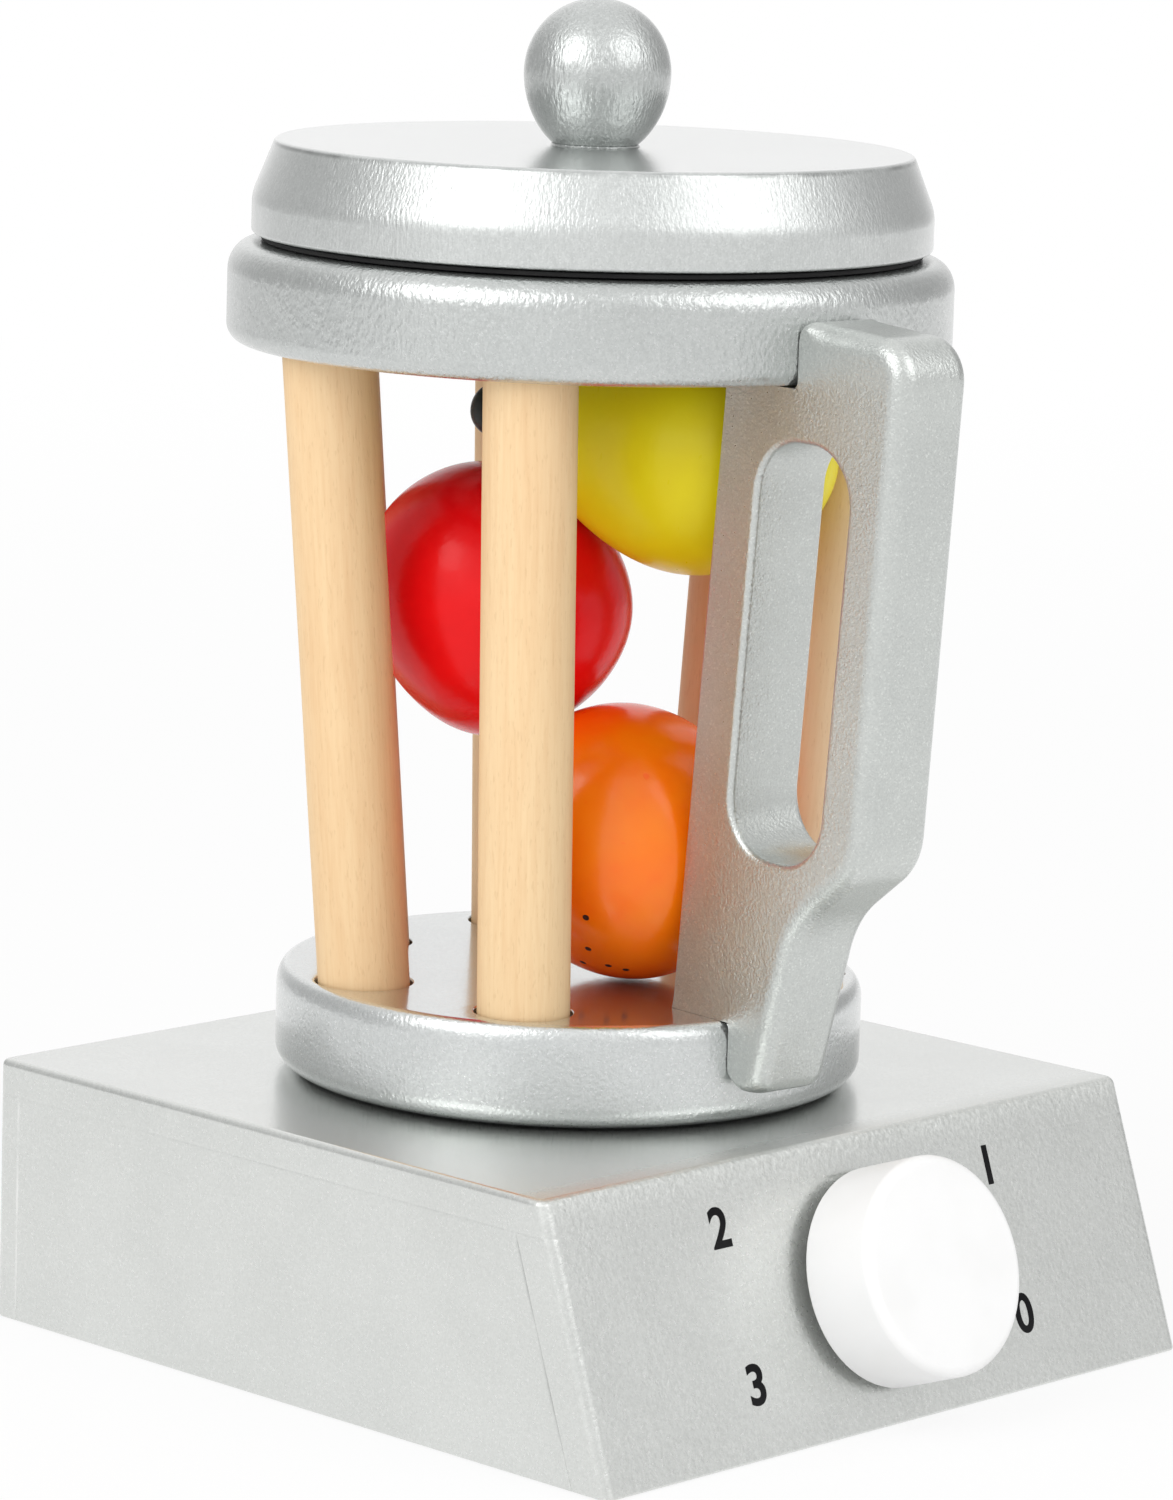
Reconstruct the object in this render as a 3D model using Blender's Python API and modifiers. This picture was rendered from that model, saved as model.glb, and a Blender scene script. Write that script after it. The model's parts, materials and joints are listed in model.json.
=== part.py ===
"""Toy blender of painted wood: a box base with a knob, a jug of splayed dowels, a lid and wooden fruit.

Metres, +Z up. The origin is the middle of the base's underside. The sloped front with the knob faces -Y.
Each sub-part is one named object. Pieces that touch keep a small gap, SEAM.
"""
import math

import bmesh
import bpy
import numpy as np
from mathutils import Matrix, Vector

# Gaps that every piece shares
SEAM = 0.0003
CUT_OVERRUN = 0.004

# Base box, of thin boards with a sloped front
BASE_WIDTH = 0.1454
BASE_DEPTH = 0.1494
BASE_HEIGHT = 0.0463
FRONT_SLOPE = math.radians(19.7)
TOP_BOARD = 0.006
FRONT_BOARD = 0.0075
BACK_BOARD = 0.0055
SIDE_BOARD = 0.006
BOTTOM_BOARD = 0.005
BASE_ROUNDING = 0.002
GLUE_BLOCK = 0.012

# Knob on its axle, square to the sloped front
KNOB_RADIUS = 0.0187
KNOB_DEPTH = 0.0148
KNOB_ROUNDING = 0.0018
KNOB_STANDOFF = 0.0019
KNOB_AXLE_RADIUS = 0.004
KNOB_AXLE_SOCKET = 0.009
KNOB_AXLE_GAP = 0.0002
KNOB_WASHER_RADIUS = 0.009
KNOB_WASHER_THICKNESS = 0.0016

# Spindle in the base that the jug stands on and turns about
JUG_SETBACK = 0.007
SPINDLE_RADIUS = 0.007
SPINDLE_HEIGHT = 0.0095
SPINDLE_SHANK_RADIUS = 0.0045
SPINDLE_GAP = 0.0002
SPINDLE_CHAMFER = 0.0012
SPINDLE_WASHER_RADIUS = 0.010
SPINDLE_WASHER_THICKNESS = 0.0016

# Jug: a disc, a ring, and seven places round them, one of them for the handle
DISC_RADIUS = 0.0512
DISC_THICKNESS = 0.0182
DISC_ROUNDING = 0.0024
OPEN_HEIGHT = 0.1087
RING_RADIUS = 0.0624
RING_BORE = 0.041
RING_THICKNESS = 0.0170
RING_ROUNDING = 0.0026
POST_PLACES = 7
FIRST_POST_ANGLE = math.radians(212.87)
HANDLE_PLACE = 1
DOWEL_RADIUS = 0.0079
DOWEL_CHAMFER = 0.0006
DOWEL_FOOT_CIRCLE = 0.0399
DOWEL_HEAD_CIRCLE = 0.0494
DOWEL_HOLE_EASE = 0.0009
DOWEL_SEAT = 0.009

# Handle: a flat board cut to an outline, with a slot for the fingers
HANDLE_THICKNESS = 0.017
HANDLE_GRIP_REACH = 0.0852
HANDLE_ELBOW_REACH = 0.0798
HANDLE_ELBOW_DROP = 0.0765
HANDLE_ANKLE_REACH = 0.0632
HANDLE_ANKLE_DROP = 0.0910
HANDLE_FOOT_DROP = 0.0108
HANDLE_FOOT_WIDTH = 0.0072
HANDLE_LIFT = 0.0125
HANDLE_EDGE_ROUNDING = 0.003
HANDLE_TOP_INNER_FILLET = 0.0036
HANDLE_TOP_OUTER_FILLET = 0.0065
HANDLE_ELBOW_FILLET = 0.0075
HANDLE_ANKLE_FILLET = 0.0110
HANDLE_TOE_FILLET = 0.0034
HANDLE_STEP_FILLET = 0.0012
SLOT_HEAD_DROP = 0.0093
SLOT_FOOT_RISE = 0.0290
SLOT_WALL = 0.0080
SLOT_WIDTH = 0.0240
SLOT_FILLET = 0.0095
SLOT_ROUNDING_SHARE = 0.5
HANDLE_PIN_RADIUS = 0.0025
HANDLE_PIN_IN_HANDLE = 0.0042
HANDLE_PIN_IN_BODY = 0.009

# Lid: a chamfered disc, a plug that enters the ring, and a ball to lift it by
LID_RADIUS = 0.0585
LID_THICKNESS = 0.0162
LID_BAND = 0.0066
LID_TOP_RADIUS = 0.0547
LID_ROUNDING = 0.0018
LID_FOOT_CHAMFER = 0.0005
LID_SPACER_RADIUS = 0.050
LID_SPACER_THICKNESS = 0.0008
PLUG_EASE = 0.0008
PLUG_DEPTH = 0.005
BALL_RADIUS = 0.0126
BALL_LOWER_HEIGHT = 0.0150
BALL_FOOT_DROP = 0.0122
LID_SCREW_BITE = 0.011

# Screws, all of one pattern: shank radius, head radius, head height
SCREW_SHANK = 0.0015
SCREW_HEAD = 0.003
SCREW_HEAD_HEIGHT = 0.0018
SCREW_SINK = 0.0006
SCREW_BITE = 0.010
SCREW_TIP = 0.0025
SCREW_SLOT_WIDTH = 0.0007
SCREW_SLOT_DEPTH = 0.0006
LID_SCREW_SHANK = 0.0022
LID_SCREW_HEAD = 0.0045

# Fruit, turned shapes that lie loose in the jug
RED_HALF_LENGTH = 0.0240
RED_RADIUS = 0.0223
RED_TAPER_SHARE = -0.063
RED_PINCH_SHARE = 0.115
RED_AZIMUTH = math.radians(144.8)
RED_ELEVATION = math.radians(51.0)
RED_BEARING = math.radians(122.9)
YELLOW_HALF_LENGTH = 0.0273
YELLOW_RADIUS = 0.0220
YELLOW_TAPER_SHARE = -0.135
YELLOW_PINCH_SHARE = -0.17
YELLOW_AZIMUTH = math.radians(122.3)
YELLOW_ELEVATION = math.radians(6.9)
YELLOW_BEARING = math.radians(281.3)
YELLOW_WEDGE_GAP = 0.0008
ORANGE_HALF_LENGTH = 0.0229
ORANGE_RADIUS = 0.0243
ORANGE_TAPER_SHARE = 0.0
ORANGE_PINCH_SHARE = 0.048
ORANGE_AZIMUTH = math.radians(162.9)
ORANGE_ELEVATION = math.radians(-40.6)
ORANGE_BEARING = math.radians(267.4)
BEAD_RADIUS = 0.0048
FRUIT_GAP = 0.0003

# Facets round a circle, by size of piece
FACETS_LARGE = 48
FACETS_MEDIUM = 32
FACETS_SMALL = 20
FACETS_TINY = 16
FRUIT_ROWS = 14
ARC_STEPS = 4
MERGE_DISTANCE = 0.00002

# Heights and places that follow from the sizes above
BOARD_TOP = BASE_HEIGHT - TOP_BOARD - SEAM
DISC_BOTTOM = BASE_HEIGHT + SEAM
DISC_TOP = DISC_BOTTOM + DISC_THICKNESS
RING_BOTTOM = DISC_TOP + OPEN_HEIGHT
RING_TOP = RING_BOTTOM + RING_THICKNESS
SPACER_BOTTOM = RING_TOP + SEAM
LID_BOTTOM = SPACER_BOTTOM + LID_SPACER_THICKNESS + SEAM
LID_TOP = LID_BOTTOM + LID_THICKNESS
BALL_CENTRE = LID_TOP + SEAM + BALL_FOOT_DROP
POST_STEP = math.tau / POST_PLACES
POST_SPLAY = math.atan2(DOWEL_HEAD_CIRCLE - DOWEL_FOOT_CIRCLE, OPEN_HEIGHT)
HANDLE_ANGLE = FIRST_POST_ANGLE + HANDLE_PLACE * POST_STEP

# Colours read as linear values, with roughness and metallic
FINISHES = {
    "silver_paint": ((0.50, 0.52, 0.50), 0.38, 0.55),
    "pale_wood": ((0.86, 0.66, 0.42), 0.55, 0.0),
    "inner_wood": ((0.62, 0.45, 0.28), 0.70, 0.0),
    "white_paint": ((0.86, 0.86, 0.85), 0.45, 0.0),
    "red_paint": ((0.62, 0.012, 0.016), 0.30, 0.0),
    "yellow_paint": ((0.62, 0.55, 0.030), 0.32, 0.0),
    "orange_paint": ((0.90, 0.17, 0.010), 0.30, 0.0),
    "black_paint": ((0.012, 0.014, 0.013), 0.35, 0.0),
    "steel": ((0.55, 0.55, 0.56), 0.30, 1.0),
}


def clear_scene():
    """Take every object out of the open file."""
    for obj in list(bpy.data.objects):
        bpy.data.objects.remove(obj, do_unlink=True)


def make_material(name):
    """Return the named finish as a Principled material, made once."""
    found = bpy.data.materials.get(name)
    if found:
        return found
    colour, roughness, metallic = FINISHES[name]
    material = bpy.data.materials.new(name)
    material.use_nodes = True
    shader = material.node_tree.nodes["Principled BSDF"]
    shader.inputs["Base Color"].default_value = (*colour, 1.0)
    shader.inputs["Roughness"].default_value = roughness
    shader.inputs["Metallic"].default_value = metallic
    return material


def add_object(name, mesh, finish, parent=None):
    """Link a mesh as a named object of the toy, with its own copy of a finish."""
    obj = bpy.data.objects.new(name, mesh)
    bpy.data.collections["toy_blender"].objects.link(obj)
    material = make_material(finish).copy()
    material.name = name + "_" + finish
    mesh.materials.clear()
    mesh.materials.append(material)
    obj.parent = parent
    return obj


def make_cutter(obj):
    """Move an object among the cutters, where it only shapes other pieces."""
    for collection in list(obj.users_collection):
        collection.objects.unlink(obj)
    bpy.data.collections["cutters"].objects.link(obj)
    obj.hide_render = True
    obj.display_type = "WIRE"
    return obj


def add_boolean(obj, cutter, operation="DIFFERENCE"):
    """Cut an object with a cutter, or keep only what the two share."""
    boolean = obj.modifiers.new(operation.lower() + "_" + cutter.name, "BOOLEAN")
    boolean.operation = operation
    boolean.solver = "EXACT"
    boolean.object = cutter
    return boolean


def add_pivot(name, matrix):
    """Place an empty whose local Z is the axis that a group of pieces turns about."""
    pivot = bpy.data.objects.new(name, None)
    bpy.data.collections["toy_blender"].objects.link(pivot)
    pivot.matrix_world = matrix
    return pivot


def lathe(name, profile, finish, facets, parent=None, closed=False):
    """Turn a profile of (radius, height) points about local Z.

    The profile runs from the top down the outer side. A closed one goes back up the bore.
    """
    mesh = bpy.data.meshes.new(name)
    shape = bmesh.new()
    points = [shape.verts.new((radius, 0.0, height)) for radius, height in profile]
    for start, end in zip(points, points[1:]):
        shape.edges.new((start, end))
    if closed:
        shape.edges.new((points[-1], points[0]))
    shape.to_mesh(mesh)
    shape.free()
    obj = add_object(name, mesh, finish, parent)
    turn = obj.modifiers.new("turn", "SCREW")
    turn.angle = math.tau
    turn.axis = "Z"
    turn.steps = facets
    turn.render_steps = facets
    turn.use_merge_vertices = True
    turn.merge_threshold = MERGE_DISTANCE
    turn.use_smooth_shade = True
    return obj


def flat_mesh(name, outlines, thickness):
    """Return a closed mesh of flat outlines, in local XY, given a thickness along local Z."""
    curve = bpy.data.curves.new(name, "CURVE")
    curve.dimensions = "2D"
    curve.fill_mode = "BOTH"
    curve.extrude = thickness / 2
    for outline in outlines:
        spline = curve.splines.new("POLY")
        spline.points.add(len(outline) - 1)
        for point, (across, up) in zip(spline.points, outline):
            point.co = (across, up, 0.0, 1.0)
        spline.use_cyclic_u = True
    guide = bpy.data.objects.new(name + "_guide", curve)
    bpy.context.scene.collection.objects.link(guide)
    bpy.context.view_layer.update()
    mesh = bpy.data.meshes.new_from_object(guide.evaluated_get(bpy.context.evaluated_depsgraph_get()))
    bpy.data.objects.remove(guide, do_unlink=True)
    shape = bmesh.new()
    shape.from_mesh(mesh)
    bmesh.ops.remove_doubles(shape, verts=shape.verts, dist=MERGE_DISTANCE)
    bmesh.ops.recalc_face_normals(shape, faces=shape.faces)
    shape.to_mesh(mesh)
    shape.free()
    mesh.name = name
    return mesh


def corner_arc(before, corner, after, radius):
    """Return the points of a fillet at a corner, or the corner alone if it has no radius."""
    if radius <= 0:
        return [tuple(corner)]
    corner = Vector(corner)
    back = (Vector(before) - corner).normalized()
    ahead = (Vector(after) - corner).normalized()
    half = back.angle(ahead) / 2
    centre = corner + (back + ahead).normalized() * (radius / math.sin(half))
    start = corner + back * (radius / math.tan(half)) - centre
    finish = corner + ahead * (radius / math.tan(half)) - centre
    sweep = math.pi - 2 * half
    points = []
    for step in range(ARC_STEPS + 1):
        share = step / ARC_STEPS
        near = math.sin((1 - share) * sweep) / math.sin(sweep)
        far = math.sin(share * sweep) / math.sin(sweep)
        points.append(tuple(centre + start * near + finish * far))
    return points


def rounded_outline(corners):
    """Return an outline with a fillet at each (across, up, radius) corner."""
    outline = []
    for index, (across, up, radius) in enumerate(corners):
        before = corners[index - 1][:2]
        after = corners[(index + 1) % len(corners)][:2]
        outline += corner_arc(before, (across, up), after, radius)
    return outline


def side_board(name, outline, width, middle, finish):
    """Extrude an outline of (depth, height) points along X, about a middle X."""
    obj = add_object(name, flat_mesh(name, [outline], width), finish)
    turn = Matrix(((0, 0, 1), (1, 0, 0), (0, 1, 0))).to_4x4()
    obj.matrix_world = Matrix.Translation((middle, 0, 0)) @ turn
    return obj


def front_depth(height):
    """Return the Y of the sloped front's outer face at a height."""
    return -BASE_DEPTH / 2 + height * math.tan(FRONT_SLOPE)


def front_inner_depth(height):
    """Return the Y of the front board's inner face at a height."""
    return front_depth(height) + FRONT_BOARD / math.cos(FRONT_SLOPE)


def screw_profile(shank, head, length):
    """Return a countersunk screw's profile, with its tip up and its head at zero."""
    return [
        (0.0, length),
        (shank, length - SCREW_TIP),
        (shank, SCREW_HEAD_HEIGHT),
        (head, 0.0),
        (0.0, 0.0),
    ]


def screw_hole_profile(shank, head, length):
    """Return the profile of a screw's hole, a seam wider all round and open past the head."""
    return [
        (0.0, length + SEAM),
        (shank + SEAM, length - SCREW_TIP + SEAM),
        (shank + SEAM, SCREW_HEAD_HEIGHT),
        (head + SEAM, 0.0),
        (head + SEAM, -CUT_OVERRUN),
        (0.0, -CUT_OVERRUN),
    ]


def add_screw(name, matrix, shank, head, length, parent, *targets):
    """Add a slotted screw with its head at a frame's origin and its tip along +Z, and cut its hole."""
    screw = lathe(name, screw_profile(shank, head, length), "steel", FACETS_TINY, parent)
    screw.matrix_local = matrix
    half_length = head + CUT_OVERRUN
    half_width = SCREW_SLOT_WIDTH / 2
    slot_mesh = flat_mesh(name + "_slot", [[
        (-half_length, -half_width),
        (half_length, -half_width),
        (half_length, half_width),
        (-half_length, half_width),
    ]], 2 * SCREW_SLOT_DEPTH)
    slot = make_cutter(add_object(name + "_slot", slot_mesh, "steel", parent))
    slot.matrix_local = matrix
    add_boolean(screw, slot)
    hole_profile = screw_hole_profile(shank, head, length)
    hole = make_cutter(lathe(name + "_hole", hole_profile, "steel", FACETS_TINY, parent))
    hole.matrix_local = matrix
    for target in targets:
        add_boolean(target, hole)
    return screw


def bore_cutter(name, radius, low, high, parent=None, facets=FACETS_SMALL):
    """Add a straight round cutter along local Z, between two heights."""
    profile = [(0.0, high), (radius, high), (radius, low), (0.0, low)]
    return make_cutter(lathe(name, profile, "steel", facets, parent))


def add_base():
    """Build the box: a rounded hull trims the outer boards, and blocks in the corners hold them."""
    half_depth = BASE_DEPTH / 2
    half_width = BASE_WIDTH / 2
    hull_outline = [
        (front_depth(0), 0),
        (half_depth, 0),
        (half_depth, BASE_HEIGHT),
        (front_depth(BASE_HEIGHT), BASE_HEIGHT),
    ]
    hull = make_cutter(side_board("base_hull", hull_outline, BASE_WIDTH, 0, "silver_paint"))
    rounding = hull.modifiers.new("rounding", "BEVEL")
    rounding.width = BASE_ROUNDING
    rounding.segments = ARC_STEPS - 1

    over = CUT_OVERRUN
    full_width = BASE_WIDTH + 2 * over
    inner_back = half_depth - BACK_BOARD - SEAM
    low = -over
    high = BOARD_TOP
    top = side_board("base_top_board", [
        (-half_depth - over, BASE_HEIGHT - TOP_BOARD),
        (half_depth + over, BASE_HEIGHT - TOP_BOARD),
        (half_depth + over, BASE_HEIGHT + over),
        (-half_depth - over, BASE_HEIGHT + over),
    ], full_width, 0, "silver_paint")
    front = side_board("base_front_board", [
        (front_depth(low) - over, low),
        (front_inner_depth(low), low),
        (front_inner_depth(high), high),
        (front_depth(high) - over, high),
    ], full_width, 0, "silver_paint")
    back = side_board("base_back_board", [
        (half_depth - BACK_BOARD, low),
        (half_depth + over, low),
        (half_depth + over, high),
        (half_depth - BACK_BOARD, high),
    ], full_width, 0, "silver_paint")
    trimmed = [top, front, back]
    for side, name in ((-1, "base_left_board"), (1, "base_right_board")):
        middle = side * (half_width - SIDE_BOARD / 2 + over / 2)
        trimmed.append(side_board(name, [
            (front_inner_depth(low) + SEAM, low),
            (inner_back, low),
            (inner_back, high),
            (front_inner_depth(high) + SEAM, high),
        ], SIDE_BOARD + over, middle, "silver_paint"))
    for board in trimmed:
        add_boolean(board, hull, "INTERSECT")

    bottom = side_board("base_bottom_board", [
        (front_inner_depth(0) + SEAM, 0),
        (inner_back, 0),
        (inner_back, BOTTOM_BOARD),
        (front_inner_depth(BOTTOM_BOARD) + SEAM, BOTTOM_BOARD),
    ], BASE_WIDTH - 2 * (SIDE_BOARD + SEAM), 0, "inner_wood")

    block_low = BOTTOM_BOARD + SEAM
    screw_length = BOTTOM_BOARD - SCREW_SINK + SCREW_BITE
    screw_height = block_low + SCREW_BITE / 2
    block_middle = half_width - SIDE_BOARD - SEAM - GLUE_BLOCK / 2
    for side, hand in ((-1, "left"), (1, "right")):
        back_block = side_board("glue_block_back_" + hand, [
            (inner_back - GLUE_BLOCK, block_low),
            (inner_back, block_low),
            (inner_back, high),
            (inner_back - GLUE_BLOCK, high),
        ], GLUE_BLOCK, side * block_middle, "inner_wood")
        front_block = side_board("glue_block_front_" + hand, [
            (front_inner_depth(block_low) + SEAM, block_low),
            (front_inner_depth(block_low) + SEAM + GLUE_BLOCK, block_low),
            (front_inner_depth(high) + SEAM + GLUE_BLOCK, high),
            (front_inner_depth(high) + SEAM, high),
        ], GLUE_BLOCK, side * block_middle, "inner_wood")
        places = {
            "back": (inner_back - GLUE_BLOCK / 2, back_block),
            "front": (front_inner_depth(screw_height) + SEAM + GLUE_BLOCK / 2, front_block),
        }
        for end, (depth, block) in places.items():
            matrix = Matrix.Translation((side * block_middle, depth, SCREW_SINK))
            name = "base_screw_" + end + "_" + hand
            add_screw(name, matrix, SCREW_SHANK, SCREW_HEAD, screw_length, None, bottom, block)
    return top, front


def add_knob(front):
    """Build the knob, its axle through the front board, and the washer and screw that keep it in."""
    face_length = BASE_HEIGHT / math.cos(FRONT_SLOPE)
    middle = face_length / 2 * math.cos(FRONT_SLOPE)
    place = Matrix.Translation((0, front_depth(middle), middle))
    pivot = add_pivot("knob_axis", place @ Matrix.Rotation(math.pi / 2 - FRONT_SLOPE, 4, "X"))

    low = KNOB_STANDOFF
    high = KNOB_STANDOFF + KNOB_DEPTH
    rim = KNOB_ROUNDING
    profile = [(0.0, high)]
    for step in range(ARC_STEPS + 1):
        turn = step / ARC_STEPS * math.pi / 2
        profile.append((KNOB_RADIUS - rim + rim * math.sin(turn), high - rim + rim * math.cos(turn)))
    profile += [(KNOB_RADIUS, low), (0.0, low)]
    knob = lathe("knob", profile, "white_paint", FACETS_MEDIUM, pivot)

    axle_high = low + KNOB_AXLE_SOCKET - SEAM
    axle_low = -FRONT_BOARD - SEAM
    axle = lathe("knob_axle", [
        (0.0, axle_high),
        (KNOB_AXLE_RADIUS, axle_high),
        (KNOB_AXLE_RADIUS, axle_low),
        (0.0, axle_low),
    ], "pale_wood", FACETS_SMALL, pivot)
    socket_radius = KNOB_AXLE_RADIUS + SEAM
    add_boolean(knob, bore_cutter("knob_socket", socket_radius, low - CUT_OVERRUN, axle_high + SEAM, pivot))
    bore_radius = KNOB_AXLE_RADIUS + KNOB_AXLE_GAP
    add_boolean(front, bore_cutter("knob_bore", bore_radius, -FRONT_BOARD - CUT_OVERRUN, CUT_OVERRUN, pivot))

    washer_high = axle_low - SEAM
    washer_low = washer_high - KNOB_WASHER_THICKNESS
    washer = lathe("knob_washer", [
        (0.0, washer_high),
        (KNOB_WASHER_RADIUS, washer_high),
        (KNOB_WASHER_RADIUS, washer_low),
        (0.0, washer_low),
    ], "steel", FACETS_SMALL, pivot)
    head = Matrix.Translation((0, 0, washer_low))
    length = KNOB_WASHER_THICKNESS + SCREW_BITE
    add_screw("knob_screw", head, SCREW_SHANK, SCREW_HEAD, length, pivot, washer, axle)


def add_spindle(top):
    """Build the spindle that stands in the top board, with the washer and screw under it."""
    pivot = add_pivot("jug_axis", Matrix.Translation((0, JUG_SETBACK, 0)))
    shoulder = BASE_HEIGHT + SEAM
    high = shoulder + SPINDLE_HEIGHT
    shank_low = BASE_HEIGHT - TOP_BOARD - SEAM
    spindle = lathe("jug_spindle", [
        (0.0, high),
        (SPINDLE_RADIUS - SPINDLE_CHAMFER, high),
        (SPINDLE_RADIUS, high - SPINDLE_CHAMFER),
        (SPINDLE_RADIUS, shoulder),
        (SPINDLE_SHANK_RADIUS, shoulder),
        (SPINDLE_SHANK_RADIUS, shank_low),
        (0.0, shank_low),
    ], "pale_wood", FACETS_SMALL, pivot)
    bore_radius = SPINDLE_SHANK_RADIUS + SPINDLE_GAP
    bore_low = BASE_HEIGHT - TOP_BOARD - CUT_OVERRUN
    add_boolean(top, bore_cutter("spindle_bore", bore_radius, bore_low, BASE_HEIGHT + CUT_OVERRUN, pivot))

    washer_high = shank_low - SEAM
    washer_low = washer_high - SPINDLE_WASHER_THICKNESS
    washer = lathe("spindle_washer", [
        (0.0, washer_high),
        (SPINDLE_WASHER_RADIUS, washer_high),
        (SPINDLE_WASHER_RADIUS, washer_low),
        (0.0, washer_low),
    ], "steel", FACETS_SMALL, pivot)
    head = Matrix.Translation((0, 0, washer_low))
    length = SPINDLE_WASHER_THICKNESS + SCREW_BITE
    add_screw("spindle_screw", head, SCREW_SHANK, SCREW_HEAD, length, pivot, washer, spindle)
    return pivot


def rounded_rim(radius, low, high, rounding):
    """Return the outer side of a disc's profile, top to bottom, with both edges rounded."""
    points = []
    for step in range(ARC_STEPS + 1):
        turn = step / ARC_STEPS * math.pi / 2
        across = radius - rounding + rounding * math.sin(turn)
        points.append((across, high - rounding + rounding * math.cos(turn)))
    for step in range(ARC_STEPS + 1):
        turn = step / ARC_STEPS * math.pi / 2
        across = radius - rounding + rounding * math.cos(turn)
        points.append((across, low + rounding - rounding * math.sin(turn)))
    return points


def post_frame(angle):
    """Return the frame of a dowel: its origin on the disc's top, its Z along the dowel."""
    foot = Matrix.Translation((DOWEL_FOOT_CIRCLE, 0, DISC_TOP))
    return Matrix.Rotation(angle, 4, "Z") @ foot @ Matrix.Rotation(POST_SPLAY, 4, "Y")


def post_angles():
    """Return the angles of the dowels: every place round the jug but the handle's."""
    return [FIRST_POST_ANGLE + place * POST_STEP for place in range(POST_PLACES) if place != HANDLE_PLACE]


def add_jug(pivot):
    """Build the jug: disc, ring, dowels, handle and the handle's pins."""
    disc_profile = [(0.0, DISC_TOP)]
    disc_profile += rounded_rim(DISC_RADIUS, DISC_BOTTOM, DISC_TOP, DISC_ROUNDING)
    disc_profile.append((0.0, DISC_BOTTOM))
    disc = lathe("jug_disc", disc_profile, "silver_paint", FACETS_LARGE, pivot)
    socket_low = DISC_BOTTOM - CUT_OVERRUN
    socket_high = BASE_HEIGHT + SEAM + SPINDLE_HEIGHT + SEAM
    add_boolean(disc, bore_cutter("spindle_socket", SPINDLE_RADIUS + SEAM, socket_low, socket_high, pivot))

    ring_profile = rounded_rim(RING_RADIUS, RING_BOTTOM, RING_TOP, RING_ROUNDING)
    ring_profile += [(RING_BORE, RING_BOTTOM), (RING_BORE, RING_TOP)]
    ring = lathe("jug_ring", ring_profile, "silver_paint", FACETS_LARGE, pivot, closed=True)

    post_length = OPEN_HEIGHT / math.cos(POST_SPLAY)
    for number, angle in enumerate(post_angles(), 1):
        frame = post_frame(angle)
        name = "jug_dowel_" + str(number)
        low = -DOWEL_SEAT
        high = post_length + DOWEL_SEAT
        dowel = lathe(name, [
            (0.0, high),
            (DOWEL_RADIUS - DOWEL_CHAMFER, high),
            (DOWEL_RADIUS, high - DOWEL_CHAMFER),
            (DOWEL_RADIUS, low + DOWEL_CHAMFER),
            (DOWEL_RADIUS - DOWEL_CHAMFER, low),
            (0.0, low),
        ], "pale_wood", FACETS_SMALL, pivot)
        foot_hole = bore_cutter(
            name + "_foot_hole", DOWEL_RADIUS + DOWEL_HOLE_EASE, low - SEAM, DOWEL_SEAT, pivot)
        head_hole = bore_cutter(
            name + "_head_hole", DOWEL_RADIUS + SEAM, post_length - DOWEL_SEAT, high + SEAM, pivot)
        for piece in (dowel, foot_hole, head_hole):
            piece.matrix_local = frame
        add_boolean(disc, foot_hole)
        add_boolean(ring, head_hole)
    add_handle(pivot, disc, ring)


def handle_inner_reach(height):
    """Return how far the handle's inner edge lies from the jug's axis at a height."""
    share = (height - DISC_TOP) / OPEN_HEIGHT
    foot = DOWEL_FOOT_CIRCLE - DOWEL_RADIUS / 2
    head = DOWEL_HEAD_CIRCLE - DOWEL_RADIUS / 2
    return foot + (head - foot) * share


def handle_outlines():
    """Return the handle's outline and its slot's, as (reach, height) points."""
    low = DISC_TOP + SEAM
    high = RING_BOTTOM - SEAM
    lap = DISC_RADIUS + SEAM
    notch = RING_RADIUS + SEAM
    top = RING_BOTTOM + HANDLE_LIFT
    foot = DISC_TOP - HANDLE_FOOT_DROP
    elbow = RING_BOTTOM - HANDLE_ELBOW_DROP
    ankle = RING_BOTTOM - HANDLE_ANKLE_DROP
    board = rounded_outline([
        (handle_inner_reach(low), low, 0),
        (lap, low, HANDLE_STEP_FILLET),
        (lap, foot, HANDLE_TOE_FILLET),
        (lap + HANDLE_FOOT_WIDTH, foot, HANDLE_TOE_FILLET),
        (HANDLE_ANKLE_REACH, ankle, HANDLE_ANKLE_FILLET),
        (HANDLE_ELBOW_REACH, elbow, HANDLE_ELBOW_FILLET),
        (HANDLE_GRIP_REACH, top, HANDLE_TOP_OUTER_FILLET),
        (notch, top, HANDLE_TOP_INNER_FILLET),
        (notch, high, HANDLE_STEP_FILLET),
        (handle_inner_reach(high), high, 0),
    ])
    slot_low = DISC_TOP + SLOT_FOOT_RISE
    slot_high = RING_BOTTOM - SLOT_HEAD_DROP
    slot = rounded_outline([
        (handle_inner_reach(slot_low) + SLOT_WALL + SLOT_WIDTH, slot_low, SLOT_FILLET),
        (handle_inner_reach(slot_low) + SLOT_WALL, slot_low, SLOT_FILLET),
        (handle_inner_reach(slot_high) + SLOT_WALL, slot_high, SLOT_FILLET),
        (handle_inner_reach(slot_high) + SLOT_WALL + SLOT_WIDTH, slot_high, SLOT_FILLET),
    ])
    return board, slot


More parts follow.
